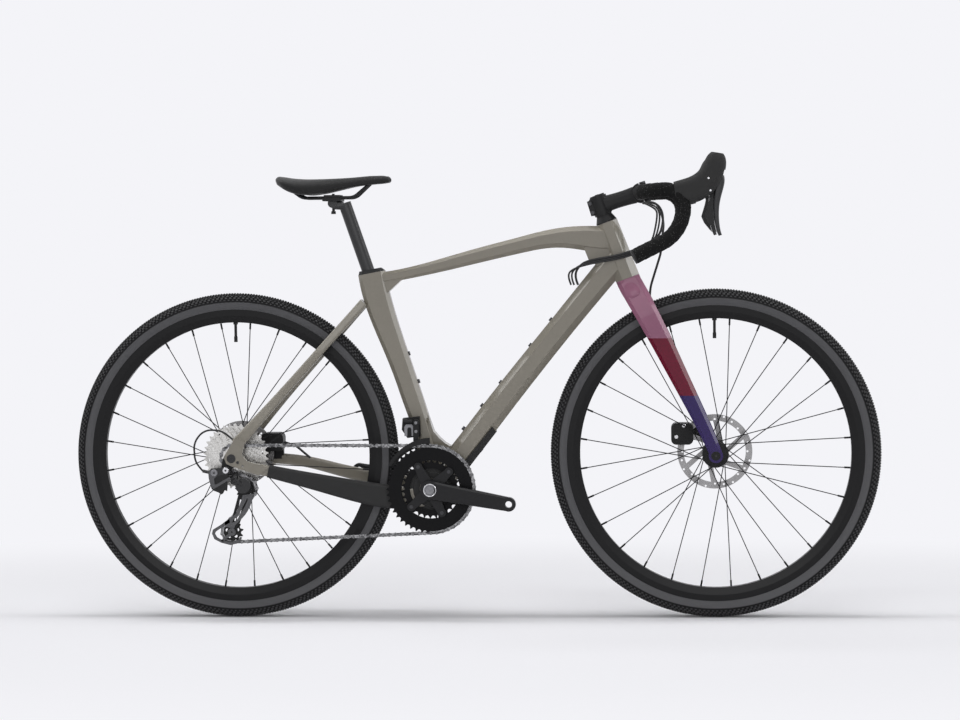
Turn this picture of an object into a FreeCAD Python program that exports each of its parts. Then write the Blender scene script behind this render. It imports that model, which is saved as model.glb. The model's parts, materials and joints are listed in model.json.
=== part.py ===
import FreeCAD, Part
import math
import os
import re
import Sketcher
from FreeCAD import Placement, Rotation, Vector

# A gravel bike in millimetres: X forward, Y to the rider's left, Z up.
# The origin is on the ground, midway between the two axles.

doc = FreeCAD.newDocument("GravelBike")

# Driving dimensions, in millimetres and degrees.

SIZES = {
    "wheelbase": 1026,
    "tyre_radius": 350,
    "tyre_width": 38,
    "tyre_wall": 3,
    "rim_radius": 315,
    "rim_width": 26,
    "rim_depth": 28,
    "rim_wall": 2.5,
    "rim_channel": 9,
    "spoke_count": 28,
    "spoke_diameter": 2,
    "nipple_diameter": 4,
    "valve_length": 42,
    "rotor_diameter": 160,
    "rear_rotor_diameter": 140,
    "rotor_thickness": 1.8,
    "axle_diameter": 12,
    "rear_hub_width": 142,
    "front_hub_width": 100,
    "bb_drop": 70,
    "chainstay_length": 428,
    "bb_shell_width": 86,
    "bb_shell_diameter": 62,
    "bb_cup_diameter": 41,
    "head_angle": 70,
    "head_tube_length": 126,
    "head_tube_top_diameter": 46,
    "head_tube_bottom_diameter": 52,
    "fork_rake": 44,
    "fork_length": 414,
    "fork_leg_depth": 46,
    "fork_leg_width": 19,
    "steerer_diameter": 28.6,
    "steerer_base_diameter": 36,
    "seat_angle": 71.3,
    "seat_tube_lead": 24.4,
    "seat_tube_length": 484,
    "seat_tube_depth": 46,
    "seat_tube_width": 36,
    "top_tube_depth": 33,
    "top_tube_width": 37,
    "down_tube_depth": 54,
    "down_tube_width": 50,
    "frame_wall": 2.5,
    "seatstay_depth": 18,
    "chainstay_depth": 36,
    "stay_width": 13,
    "seatpost_diameter": 27.2,
    "seatpost_wall": 2.4,
    "seatpost_rise": 160,
    "seatpost_inside": 150,
    "seatpost_setback": 24,
    "saddle_length": 243,
    "saddle_width": 143,
    "rail_diameter": 7,
    "stem_length": 90,
    "stem_drop_angle": 3.5,
    "stem_clamp_height": 40,
    "bar_clamp_diameter": 31.8,
    "bar_diameter": 23.8,
    "bar_half_width": 208,
    "bar_reach": 88,
    "bar_drop": 132,
    "tape_thickness": 3.4,
    "crank_length": 170,
    "crank_angle": 10.2,
    "big_ring_teeth": 46,
    "small_ring_teeth": 30,
    "cog_pitch": 3.7,
    "chain_pitch": 12.7,
    "roller_diameter": 7.7,
    "pulley_teeth": 11,
    "hose_diameter": 5,
    "housing_diameter": 4,
}

sheet = doc.addObject("Spreadsheet::Sheet", "Sizes")
for row, (alias, number) in enumerate(SIZES.items(), start=1):
    sheet.set(f"A{row}", alias)
    sheet.set(f"B{row}", str(number))
    sheet.setAlias(f"B{row}", alias)
doc.recompute()


def cell(expression):
    """The expression with every size name pointed at its cell."""
    return re.sub(r"[a-z_]+", lambda m: "Sizes." + m.group() if m.group() in SIZES else m.group(), expression)


def value(expression):
    """The number that an expression of sizes gives now."""
    return float(sheet.evalExpression(cell(expression)))


# Small geometry helpers

LEFT = Vector(0, 1, 0)
PIECES = {}


def at(x, z, y=0.0):
    """A point from its side-view place and its distance to the left."""
    return Vector(x, y, z)


def turn_in_side_view(direction, degrees):
    """A side-plane direction turned towards up from forward."""
    angle = math.radians(degrees)
    forward = direction.x * math.cos(angle) - direction.z * math.sin(angle)
    up = direction.x * math.sin(angle) + direction.z * math.cos(angle)
    return Vector(forward, 0, up)


def mirrored(shape):
    """The same shape on the other side of the bike."""
    return shape.mirror(Vector(0, 0, 0), LEFT)


def outward(shape):
    """The solid turned right side out when it came inside out."""
    if shape.Volume < 0:
        shape.reverse()
    return shape


def rod(start, end, radius):
    """A round bar between two points."""
    run = end - start
    return Part.makeCylinder(radius, run.Length, start, run)


def ring(centre, axis, outer, inner, length):
    """A ring that starts at centre and grows along axis."""
    tube = Part.makeCylinder(outer, length, centre, axis)
    return tube.cut(Part.makeCylinder(inner, length, centre, axis))


def block(low, high):
    """A box between two opposite corners."""
    span = high - low
    return Part.makeBox(span.x, span.y, span.z, low)


def plate(points, y_low, y_high):
    """A flat plate from a side-view outline, between two distances to the left."""
    corners = [at(x, z, y_low) for x, z in points]
    face = Part.Face(Part.makePolygon(corners + corners[:1]))
    return outward(face.extrude(Vector(0, y_high - y_low, 0)))


def fused(shapes):
    """One solid from touching shapes."""
    whole = shapes[0]
    for shape in shapes[1:]:
        whole = whole.fuse(shape)
    tidy = whole.copy().removeSplitter()
    return tidy if tidy.isValid() else whole


def section(centre, along, depth, width, corner, faceted=False):
    """A rectangle across a tube with round or chamfered corners: depth in the side plane, width along Y."""
    across = Vector(-along.z, 0, along.x)
    radius = corner * min(depth, width) / 2
    half_d, half_w = depth / 2, width / 2
    diagonal = radius * (1 - math.sqrt(0.5))
    edges = []
    last = None
    first = None
    for sign_d, sign_w, along_depth in ((1, 1, True), (1, -1, False), (-1, -1, True), (-1, 1, False)):
        side_d = (sign_d * half_d, sign_w * (half_w - radius))
        side_w = (sign_d * (half_d - radius), sign_w * half_w)
        middle = (sign_d * (half_d - diagonal), sign_w * (half_w - diagonal))
        start, end = (side_w, side_d) if along_depth else (side_d, side_w)
        begin, mid, stop = (centre + across * d + LEFT * w for d, w in (start, middle, end))
        if last is not None:
            edges.append(Part.LineSegment(last, begin).toShape())
        else:
            first = begin
        corner_edge = Part.LineSegment(begin, stop) if faceted else Part.Arc(begin, mid, stop)
        edges.append(corner_edge.toShape())
        last = stop
    edges.append(Part.LineSegment(last, first).toShape())
    return Part.Wire(edges)


def loft(stations, grow=0.0, faceted=False):
    """A smooth solid through stations of (centre, along, depth, width, corner)."""
    wires = [section(c, a, d + 2 * grow, w + 2 * grow, k, faceted) for c, a, d, w, k in stations]
    return outward(Part.makeLoft(wires, True, False))


def along_chord(start, end, rows, depth, width, corner):
    """Stations from rows of (fraction, rise, depth ratio, width ratio, y) beside a straight chord."""
    run = end - start
    run.y = 0
    normal = Vector(-run.z, 0, run.x).normalize()
    centres = [start + run * row[0] + normal * row[1] + LEFT * row[4] for row in rows]
    return stations_through(centres, [(row[2] * depth, row[3] * width) for row in rows], corner)


def stations_through(centres, spans, corner):
    """Stations square to the side view of the line through the centres."""
    stations = []
    for i, centre in enumerate(centres):
        before = centres[max(i - 1, 0)]
        after = centres[min(i + 1, len(centres) - 1)]
        along = Vector(after.x - before.x, 0, after.z - before.z).normalize()
        stations.append((centre, along, spans[i][0], spans[i][1], corner))
    return stations


def rounded_path(corners, radius):
    """Straight runs joined by tangent arcs, each arc as wide as asked or as its runs allow."""
    edges = []
    last = corners[0]
    for i in range(1, len(corners) - 1):
        into = corners[i] - corners[i - 1]
        out = corners[i + 1] - corners[i]
        half_turn = into.getAngle(out) / 2
        room = 0.49 * min(into.Length, out.Length)
        bend = min(radius, room / math.tan(half_turn))
        step = bend * math.tan(half_turn)
        into.normalize()
        out.normalize()
        begin = corners[i] - into * step
        stop = corners[i] + out * step
        inward = (out - into).normalize()
        middle = corners[i] + inward * (bend / math.cos(half_turn) - bend)
        if (begin - last).Length > 0.001:
            edges.append(Part.LineSegment(last, begin).toShape())
        edges.append(Part.Arc(begin, middle, stop).toShape())
        last = stop
    edges.append(Part.LineSegment(last, corners[-1]).toShape())
    return Part.Wire(edges)


def pipe(corners, bend, radius):
    """A round bar along a rounded path."""
    path = rounded_path(corners, bend)
    circle = Part.Wire(Part.makeCircle(radius, corners[0], corners[1] - corners[0]))
    return outward(path.makePipeShell([circle], True, False))


def keep(name, piece):
    """Name a finished piece."""
    piece.Label = name
    PIECES[name] = piece
    return piece


def shaped(name, shape):
    """A piece whose form no feature of a body makes."""
    piece = doc.addObject("Part::Feature", name)
    piece.Shape = shape
    return keep(name, piece)


def group(name, members):
    """A piece made of several equal or stacked solids."""
    piece = doc.addObject("Part::Compound", name)
    piece.Links = members
    return keep(name, piece)


def origin_plane(body, role):
    """The origin plane of a body that has this role."""
    return [feature for feature in body.Origin.OriginFeatures if feature.Role == role][0]


def closed_loop(sketch, corners):
    """A closed polygon whose every corner is held by two sizes."""
    first = sketch.GeometryCount
    count = len(corners)
    points = [Vector(value(a), value(b), 0) for a, b in corners]
    for i in range(count):
        sketch.addGeometry(Part.LineSegment(points[i], points[(i + 1) % count]))
    for i in range(count):
        sketch.addConstraint(Sketcher.Constraint("Coincident", first + i, 2, first + (i + 1) % count, 1))
    for i, (a, b) in enumerate(corners):
        for kind, expression, now in (("DistanceX", a, points[i].x), ("DistanceY", b, points[i].y)):
            index = sketch.addConstraint(Sketcher.Constraint(kind, -1, 1, first + i, 1, now))
            sketch.setExpression(f"Constraints[{index}]", cell(expression))


def turned(name, loops, centre, axis=LEFT):
    """A body of revolution: each loop is a list of (radius, height along the axis)."""
    body = doc.addObject("PartDesign::Body", name)
    sketch = body.newObject("Sketcher::SketchObject", name + "_profile")
    sketch.AttachmentSupport = (origin_plane(body, "XZ_Plane"), "")
    sketch.MapMode = "FlatFace"
    for corners in loops:
        closed_loop(sketch, corners)
    spin = body.newObject("PartDesign::Revolution", name + "_turn")
    spin.Profile = sketch
    spin.ReferenceAxis = (sketch, ["V_Axis"])
    spin.Angle = 360
    body.Tip = spin
    body.Placement = Placement(centre, Rotation(Vector(0, 0, 1), axis))
    return body


def bar_between(name, start, end, diameter):
    """A round bar whose thickness follows its size cell."""
    bar = doc.addObject("Part::Cylinder", name)
    bar.setExpression("Radius", cell(diameter + " / 2"))
    bar.Height = (end - start).Length
    bar.Placement = Placement(start, Rotation(Vector(0, 0, 1), end - start))
    return bar


# Skeleton: axles, steering axis and seat axis

TYRE_R = value("tyre_radius")
REAR_AXLE = at(-value("wheelbase / 2"), TYRE_R)
FRONT_AXLE = at(value("wheelbase / 2"), TYRE_R)
BB_RUN = math.sqrt(value("chainstay_length") ** 2 - value("bb_drop") ** 2)
BB = REAR_AXLE + Vector(BB_RUN, 0, -value("bb_drop"))

HEAD_ANGLE = math.radians(value("head_angle"))
STEER_UP = Vector(-math.cos(HEAD_ANGLE), 0, math.sin(HEAD_ANGLE))
STEER_FORWARD = Vector(math.sin(HEAD_ANGLE), 0, math.cos(HEAD_ANGLE))
STEER_FOOT = FRONT_AXLE - STEER_FORWARD * value("fork_rake")
HEAD_BOTTOM = STEER_FOOT + STEER_UP * value("fork_length")
HEAD_TOP = HEAD_BOTTOM + STEER_UP * value("head_tube_length")

SEAT_ANGLE = math.radians(value("seat_angle"))
SEAT_UP = Vector(-math.cos(SEAT_ANGLE), 0, math.sin(SEAT_ANGLE))
SEAT_FORWARD = Vector(math.sin(SEAT_ANGLE), 0, math.cos(SEAT_ANGLE))
SEAT_FOOT = BB + Vector(value("seat_tube_lead"), 0, 0)
SEAT_TOP = SEAT_FOOT + SEAT_UP * value("seat_tube_length")

FIT = 0.05
PRESS_GAP = 0.4


def mirror_list(shapes):
    """Both sides of a pair."""
    return shapes + [mirrored(shape) for shape in shapes]


# Wheels: tyre, rim, spokes, hub, rotor and valve

HUB_LOOPS = {
    "front": [
        [("9", "-43"), ("12", "-43"), ("12.5", "-36"), ("28", "-34"), ("28", "-30"), ("13", "-26"),
         ("13", "14"), ("27", "18"), ("27", "22"), ("17", "24"), ("17", "41.5"), ("9", "41.5")],
    ],
    "rear": [
        [("9", "-20.4"), ("16", "-20.4"), ("16", "-19"), ("29", "-19"), ("29", "-15"), ("14", "-11"),
         ("14", "27"), ("27", "31"), ("27", "35"), ("17", "37"), ("17", "57.5"), ("9", "57.5")],
    ],
}
FLANGES = {"front": ((-32, 25), (20, 24)), "rear": ((-17, 26), (33, 24))}
ROTOR_Y = {"front": 39.5, "rear": 55.7}
BEARING_Y = {"front": (-43, 34.5), "rear": (-20.4, 50.5)}
SPOKE_CROSSES = 2
FLANGE_HALF = 2.0
NIPPLE_LENGTH = 13.0


def make_tyre(name, axle):
    """A hollow tyre, open towards the rim."""
    carcass = doc.addObject("Part::Torus", name + "_carcass")
    carcass.setExpression("Radius1", cell("tyre_radius - tyre_width / 2"))
    carcass.setExpression("Radius2", cell("tyre_width / 2"))
    air = doc.addObject("Part::Torus", name + "_air")
    air.setExpression("Radius1", cell("tyre_radius - tyre_width / 2 - tyre_wall / 6"))
    air.setExpression("Radius2", cell("tyre_width / 2 - tyre_wall * 5 / 6"))
    opening = doc.addObject("Part::Cylinder", name + "_opening")
    opening.setExpression("Radius", cell("rim_radius - 0.6"))
    opening.Height = 40
    opening.Placement.Base = Vector(0, 0, -20)
    hollow = doc.addObject("Part::Cut", name + "_hollow")
    hollow.Base = carcass
    hollow.Tool = air
    tyre = doc.addObject("Part::Cut", name)
    tyre.Base = hollow
    tyre.Tool = opening
    tyre.Placement = Placement(axle, Rotation(Vector(0, 0, 1), LEFT))
    return keep(name, tyre)


def make_rim(name, axle):
    """A double-wall rim with a tyre channel."""
    half = "rim_width / 2"
    lip = "rim_width / 2 - rim_wall"
    floor = "rim_radius - rim_channel"
    inner = "rim_radius - rim_depth"
    outline = [
        ("rim_radius", f"-({half})"), ("rim_radius", f"-({lip})"), (floor, f"-({lip})"), (floor, lip),
        ("rim_radius", lip), ("rim_radius", half), (floor + " - 4", half), (inner, "7"), (inner, "-7"),
        (floor + " - 4", f"-({half})"),
    ]
    roof = floor + " - rim_wall"
    base = inner + " + rim_wall"
    air = [(roof, f"-({lip} - 1)"), (roof, f"{lip} - 1"), (base, "5.2"), (base, "-5.2")]
    rim = turned(name, [outline, air], axle)
    return keep(name, rim)


def on_wheel(axle, radius, degrees, y):
    """A point of a wheel from its radius, its angle up from forward and its distance to the left."""
    angle = math.radians(degrees)
    return axle + Vector(radius * math.cos(angle), y, radius * math.sin(angle))


def make_spokes(name, axle, flanges):
    """Crossed spokes with their nipples, alternating between the flanges and their faces."""
    count = int(value("spoke_count"))
    step = 360.0 / count
    rim_inside = value("rim_radius - rim_depth") - 0.45
    members = []
    for i in range(count):
        flange_y, hole_radius = flanges[i % 2]
        lead = 1 if (i // 2) % 2 == 0 else -1
        rim_angle = (i + 0.5) * step
        hub_angle = rim_angle + lead * SPOKE_CROSSES * 2 * step
        face_y = flange_y + lead * (FLANGE_HALF + value("spoke_diameter / 2") + 0.1)
        start = on_wheel(axle, hole_radius, hub_angle, face_y)
        end = on_wheel(axle, rim_inside, rim_angle, 0)
        run = (end - start).normalize()
        knee = end - run * NIPPLE_LENGTH
        members.append(bar_between(f"{name}_wire_{i}", start, knee, "spoke_diameter"))
        members.append(bar_between(f"{name}_nipple_{i}", knee, end, "nipple_diameter"))
    return group(name, members)


def make_hub(name, axle, kind):
    """A hub shell, grooved where the spokes lie in its flanges, with its two bearings."""
    shell = turned(name + "_shell", HUB_LOOPS[kind], axle)
    grooved = doc.addObject("Part::Cut", name + "_grooved")
    grooved.Base = shell
    grooved.Tool = PIECES[kind + "_spokes"]
    members = [grooved]
    for i, y in enumerate(BEARING_Y[kind]):
        race = [("axle_diameter / 2 + 0.05", f"{y}"), ("9", f"{y}"), ("9", f"{y} + 7"),
                ("axle_diameter / 2 + 0.05", f"{y} + 7")]
        members.append(turned(f"{name}_bearing_{i}", [race], axle))
    return group(name, members)


ROTOR_SIZE = {"front": "rotor_diameter / 2", "rear": "rear_rotor_diameter / 2"}
ROTOR_ARMS = 6
ROTOR_HOLES = 24


def make_rotor(name, axle, kind):
    """A steel brake ring with vent slots on slanted arms."""
    y = ROTOR_Y[kind]
    radius = value(ROTOR_SIZE[kind])
    thick = value("rotor_thickness")
    low = y - thick / 2
    centre = axle + LEFT * low
    track = ring(centre, LEFT, radius, radius - 14, thick)
    carrier = ring(centre, LEFT, 26, 17, thick)
    parts = [track, carrier]
    for i in range(ROTOR_ARMS):
        turn = i * 360.0 / ROTOR_ARMS
        inner = [on_wheel(axle, 24, turn + a, 0) for a in (-16, 16)]
        outer = [on_wheel(axle, radius - 13, turn + a, 0) for a in (33, 23)]
        outline = [(p.x, p.z) for p in inner + outer]
        parts.append(plate(outline, low, low + thick))
    rotor = fused(parts)
    for i in range(ROTOR_HOLES):
        spread = (-3.6, 0, 3.6)[i % 3]
        hole = on_wheel(axle, radius - 7 + spread, i * 360.0 / ROTOR_HOLES, low)
        rotor = rotor.cut(Part.makeCylinder(2.3, thick, hole, LEFT))
    return shaped(name, rotor)


def make_valve(name, axle):
    """A valve stem with its lock ring and cap, at the top of the wheel."""
    inside = value("rim_radius - rim_depth") - PRESS_GAP
    top = axle + Vector(0, 0, inside)
    down = Vector(0, 0, -1)
    stem = Part.makeCylinder(3, value("valve_length"), top, down)
    collar = Part.makeCylinder(5, 4, top, down)
    cap = Part.makeCylinder(3.8, 12, top + down * (value("valve_length") - 12), down)
    return shaped(name, fused([stem, collar, cap]))


for kind, axle in (("front", FRONT_AXLE), ("rear", REAR_AXLE)):
    make_tyre(kind + "_tyre", axle)
    make_rim(kind + "_rim", axle)
    make_spokes(kind + "_spokes", axle, FLANGES[kind])
    make_hub(kind + "_hub", axle, kind)
    make_rotor(kind + "_rotor", axle, kind)
    make_valve(kind + "_valve", axle)

# Thru-axles with the end caps that carry the hubs

CAPS = {"front": ((-50, -43.4), (42, 50)), "rear": ((-71, -61.4), (58, 71))}
AXLE_ENDS = {"front": (-64, 64.4), "rear": (-81, 79)}
for kind, axle in (("front", FRONT_AXLE), ("rear", REAR_AXLE)):
    low, high = AXLE_ENDS[kind]
    shaft_loop = [("0", f"{low}"), ("axle_diameter / 2", f"{low}"), ("axle_diameter / 2", f"{high}"),
                  ("9", f"{high}"), ("8", f"{high} + 5"), ("3", f"{high} + 5"), ("3", f"{high} - 2"),
                  ("0", f"{high} - 2")]
    members = [turned(kind + "_axle_shaft", [shaft_loop], axle)]
    for i, (cap_low, cap_high) in enumerate(CAPS[kind]):
        cap_loop = [("axle_diameter / 2", f"{cap_low}"), ("9.5", f"{cap_low}"), ("9.5", f"{cap_high}"),
                    ("axle_diameter / 2", f"{cap_high}")]
        members.append(turned(f"{kind}_axle_cap_{i}", [cap_loop], axle))
    group(kind + "_axle", members)

# Main frame: head tube, top tube, down tube, seat tube and bottom-bracket shell

TOP_TUBE_ROWS = [
    (0.00, 0.0, 0.90, 0.84, 0), (0.11, 0.0, 0.72, 0.87, 0), (0.29, 4.3, 0.83, 0.92, 0),
    (0.47, 11.6, 0.96, 0.97, 0), (0.62, 16.5, 1.03, 1.00, 0), (0.75, 18.6, 1.18, 1.05, 0),
    (0.84, 13.0, 1.42, 1.10, 0), (0.93, 1.5, 1.66, 1.12, 0), (1.00, -5.0, 1.66, 1.08, 0),
]
DOWN_TUBE_ROWS = [
    (0.00, 0.0, 1.04, 1.30, 0), (0.12, -4.0, 1.04, 1.18, 0), (0.30, -2.0, 1.03, 1.06, 0),
    (0.50, 0.0, 1.00, 1.00, 0), (0.75, 0.0, 0.98, 0.96, 0), (0.92, -1.0, 1.02, 0.92, 0),
    (1.00, -2.0, 1.04, 0.86, 0),
]
SEAT_TUBE_ROWS = [
    (0.000, 22.0, 1.22, 1.60, 0), (0.130, 11.0, 1.08, 1.28, 0), (0.270, 1.5, 0.90, 1.08, 0),
    (0.360, 0.5, 0.93, 1.02, 0), (0.490, 0.0, 0.96, 1.00, 0), (0.630, 0.5, 1.02, 0.96, 0),
    (0.770, 2.0, 1.15, 0.94, 0), (0.930, -1.0, 1.26, 0.95, 0), (1.000, -6.0, 1.26, 0.95, 0),
]
TOP_TUBE_BELOW_HEAD = 32.0
DOWN_TUBE_ABOVE_HEAD = 52.0
TOP_TUBE_BELOW_SEAT = 14.0

TOP_TUBE = along_chord(
    SEAT_TOP - SEAT_UP * TOP_TUBE_BELOW_SEAT, HEAD_TOP - STEER_UP * TOP_TUBE_BELOW_HEAD,
    TOP_TUBE_ROWS, value("top_tube_depth"), value("top_tube_width"), 0.5)
DOWN_TUBE = along_chord(
    BB, HEAD_BOTTOM + STEER_UP * DOWN_TUBE_ABOVE_HEAD,
    DOWN_TUBE_ROWS, value("down_tube_depth"), value("down_tube_width"), 0.55)
SEAT_TUBE = along_chord(
    SEAT_FOOT, SEAT_TOP, SEAT_TUBE_ROWS, value("seat_tube_depth"), value("seat_tube_width"), 0.5)


def from_point(point, offsets):
    """Side-view outline corners given as offsets from a point."""
    return [(point.x + dx, point.z + dz) for dx, dz in offsets]


REGULAR = 2 - math.sqrt(2)
head_ends = [(HEAD_BOTTOM, "head_tube_bottom_diameter"), (HEAD_TOP, "head_tube_top_diameter")]
head_rows = [(place, STEER_UP, value(size), value(size), REGULAR) for place, size in head_ends]
head_tube = loft(head_rows, faceted=True)
HEAD_WEB = [(-38, -42), (-48, -55), (-39, -78), (-20, -92), (14, -92), (20, -42)]
head_gusset = plate(from_point(HEAD_TOP, HEAD_WEB), -18, 18)
bb_half = value("bb_shell_width / 2")
bb_shell = Part.makeCylinder(value("bb_shell_diameter / 2"), 2 * bb_half, BB - LEFT * bb_half, LEFT)
seat_gusset = plate(from_point(SEAT_TOP, [(75, -9), (41, -40), (24, -20), (30, -2)]), -14, 14)
CROTCH = [(-6, 150), (4.5, 120), (16.5, 106), (28.5, 95.5), (39, 89), (46, 91), (44, 84), (36, 72), (20, 60),
          (-8, 70)]
bb_gusset = plate(from_point(BB, CROTCH), -17, 17)
tubes = [loft(tube, faceted=True) for tube in (TOP_TUBE, DOWN_TUBE, SEAT_TUBE)]
frame_outside = fused([head_tube] + tubes + [bb_shell, seat_gusset, bb_gusset, head_gusset])

wall = value("frame_wall")
post_radius = value("seatpost_diameter / 2")
post_bore = Part.makeCylinder(post_radius + FIT, value("seatpost_inside") + 110,
                              SEAT_TOP + SEAT_UP * 40, SEAT_UP * -1)
hollows = [
    loft(TOP_TUBE[1:-2], -wall, True),
    loft(DOWN_TUBE[1:-1], -wall, True),
    loft(SEAT_TUBE[1:5], -wall, True),
    post_bore,
    Part.makeCylinder(value("bb_cup_diameter / 2"), 2 * bb_half, BB - LEFT * bb_half, LEFT),
    Part.makeCone(19.5, 16.5, value("head_tube_length"), HEAD_BOTTOM, STEER_UP),
    Part.makeCylinder(21, 8, HEAD_TOP, STEER_UP * -1),
    Part.makeCylinder(23.5, 8, HEAD_BOTTOM, STEER_UP),
]
main_frame = frame_outside
for hollow in hollows:
    main_frame = main_frame.cut(hollow)
shaped("main_frame", main_frame)

# Rear triangle: dropouts, chainstays and seatstays

RIGHT_CHAINSTAY_ROWS = [
    (0.00, 0.0, 0.62, 0.95, -71), (0.10, -3.0, 0.66, 0.98, -68), (0.20, -7.5, 0.74, 1.00, -63),
    (0.45, -18.5, 1.02, 1.05, -50), (0.66, -27.0, 1.26, 1.10, -37), (0.80, -28.0, 1.30, 1.15, -34),
    (1.00, -16.0, 1.30, 1.40, -32),
]
LEFT_CHAINSTAY_ROWS = [
    (0.00, 8.0, 0.66, 0.95, 69), (0.10, 11.0, 0.66, 0.98, 67), (0.20, 13.0, 0.67, 1.00, 62.5),
    (0.45, 5.5, 0.75, 1.05, 50), (0.64, 0.0, 0.84, 1.10, 37.5), (0.80, -4.0, 0.94, 1.15, 34),
    (1.00, 0.0, 1.05, 1.40, 32),
]
SEATSTAY_ROWS = [
    (0.00, 0.0, 1.10, 1.10, 12), (0.10, 0.0, 1.02, 1.00, 21), (0.22, 0.0, 1.00, 1.00, 31.5),
    (0.50, 0.0, 1.00, 1.00, 46), (0.80, 0.0, 1.20, 1.00, 62), (1.00, 0.0, 1.50, 0.90, 71.5),
]
DROPOUT_OUTLINE = [(-13, 9), (-15, 0), (-11, -11), (0, -16), (58, -36), (80, -19), (34, -6),
                   (23, 8), (30, 36), (10, 46)]
STAY_FRONT = REAR_AXLE + Vector(40, 0, -20)
DROPOUT_Y = {"right": (-80, -74.5), "left": (71, 78)}
SEATSTAY_BELOW_TOP = 54.0
SEATSTAY_BEHIND = 30.0

stay_width = value("stay_width")
right_chainstay_stations = along_chord(STAY_FRONT, BB, RIGHT_CHAINSTAY_ROWS,
                                       value("chainstay_depth"), stay_width, 0.75)
left_chainstay_stations = along_chord(STAY_FRONT, BB, LEFT_CHAINSTAY_ROWS,
                                      value("chainstay_depth"), stay_width, 0.85)
seatstay_top = SEAT_TOP - SEAT_UP * SEATSTAY_BELOW_TOP - SEAT_FORWARD * SEATSTAY_BEHIND
seatstay_end = REAR_AXLE + Vector(11, 0, 30)
seatstay_left = loft(along_chord(seatstay_top, seatstay_end, SEATSTAY_ROWS,
                                 value("seatstay_depth"), stay_width, 0.85))

axle_hole = rod(REAR_AXLE - LEFT * 100, REAR_AXLE + LEFT * 100, value("axle_diameter / 2"))
shell_room = rod(BB - LEFT * 60, BB + LEFT * 60, value("bb_shell_diameter / 2"))
dropouts = {side: plate(from_point(REAR_AXLE, DROPOUT_OUTLINE), low, high)
            for side, (low, high) in DROPOUT_Y.items()}
tyre_room = rod(REAR_AXLE - LEFT * 25, REAR_AXLE + LEFT * 25, TYRE_R + 7)

right_chainstay = fused([loft(right_chainstay_stations), dropouts["right"]])
left_chainstay = fused([loft(left_chainstay_stations), dropouts["left"]])
eyelet = REAR_AXLE + Vector(24, 0, -16)
eyelet_bore = rod(eyelet - LEFT * 100, eyelet + LEFT * 100, 2.5)
chainstays = []
for stay in (right_chainstay, left_chainstay):
    stay = stay.cut(axle_hole).cut(eyelet_bore).cut(frame_outside).cut(shell_room)
    chainstays.append(max(stay.Solids, key=lambda solid: solid.Volume))
shaped("chainstays", Part.makeCompound(chainstays))

seatstays = []
for stay, side in ((mirrored(seatstay_left), 0), (seatstay_left, 1)):
    stay = stay.cut(frame_outside).cut(chainstays[side])
    seatstays.append(max(stay.Solids, key=lambda solid: solid.Volume))
shaped("seatstays", Part.makeCompound(seatstays))

# Guards: a sleeve on the drive-side chainstay and a plate under the down tube

GUARD_SKIN = 1.6
sleeve = loft(right_chainstay_stations[1:-1], GUARD_SKIN).cut(right_chainstay).cut(frame_outside)
sleeve = sleeve.cut(seatstays[0])
sleeve = max(sleeve.Solids, key=lambda solid: solid.Volume)
down_run = (HEAD_BOTTOM + STEER_UP * DOWN_TUBE_ABOVE_HEAD - BB).normalize()
down_under = Vector(down_run.z, 0, -down_run.x)
shoe = loft(DOWN_TUBE[1:4], 2.5, True).cut(frame_outside)
shoe_start = BB + down_run * 66
SHOE_SIDE = 19
shoe_cover = [shoe_start + down_under * SHOE_SIDE, shoe_start + down_under * 60,
              shoe_start + down_run * 102 + down_under * 60,
              shoe_start + down_run * 118 + down_under * SHOE_SIDE]
shoe = shoe.common(plate([(p.x, p.z) for p in shoe_cover], -60, 60))
shoe = max(shoe.Solids, key=lambda solid: solid.Volume)
shaped("frame_guards", Part.makeCompound([sleeve, shoe]))

# Bolts: five on the down tube, two on the seat tube, one through the down-tube guard

DOWN_TUBE_BOLTS = (0.22, 0.32, 0.42, 0.58, 0.69)
SEAT_TUBE_BOLTS = (0.48, 0.61)
BOLT_HEAD_RADIUS = 4.5


def bolt_on(stations_line, fraction, start, end, towards, depth):
    """A bolt head that stands on a tube, cut to the tube's own surface."""
    foot = start + (end - start) * fraction
    shank = rod(foot + towards * (depth * 0.5 - 6), foot + towards * (depth * 0.5 + 3.2), BOLT_HEAD_RADIUS)
    head = shank.cut(stations_line)
    return max(head.Solids, key=lambda solid: (solid.CenterOfMass - foot).dot(towards))


down_end = HEAD_BOTTOM + STEER_UP * DOWN_TUBE_ABOVE_HEAD
bolts = [bolt_on(frame_outside, f, BB, down_end, down_under * -1, value("down_tube_depth"))
         for f in DOWN_TUBE_BOLTS]
bolts += [bolt_on(frame_outside, f, SEAT_FOOT, SEAT_TOP, SEAT_FORWARD, value("seat_tube_depth"))
          for f in SEAT_TUBE_BOLTS]
guard_and_tube = frame_outside.fuse(shoe)
bolts.append(bolt_on(guard_and_tube, 0.20, BB, down_end, down_under, value("down_tube_depth") + 8))
shaped("bottle_bolts", Part.makeCompound(bolts))

# Derailleur hanger between the hub and the drive-side dropout

HANGER_OUTLINE = [(-14, 8), (-20, -4), (-23, -26), (-15, -36), (-4, -34), (2, -18), (13, -6), (13, 8),
                  (0, 14)]
HANGER_Y = (-74.5, -71)
HANGER_BOLT = REAR_AXLE + Vector(-12, 0, -25)
hanger = plate(from_point(REAR_AXLE, HANGER_OUTLINE), *HANGER_Y).cut(axle_hole)
hanger = hanger.cut(rod(HANGER_BOLT - LEFT * 100, HANGER_BOLT, 4)).cut(eyelet_bore)
hanger = hanger.cut(seatstays[0]).cut(chainstays[0])
shaped("derailleur_hanger", max(hanger.Solids, key=lambda solid: solid.Volume))

# Seat clamp cover on top of the seat tube

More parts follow.
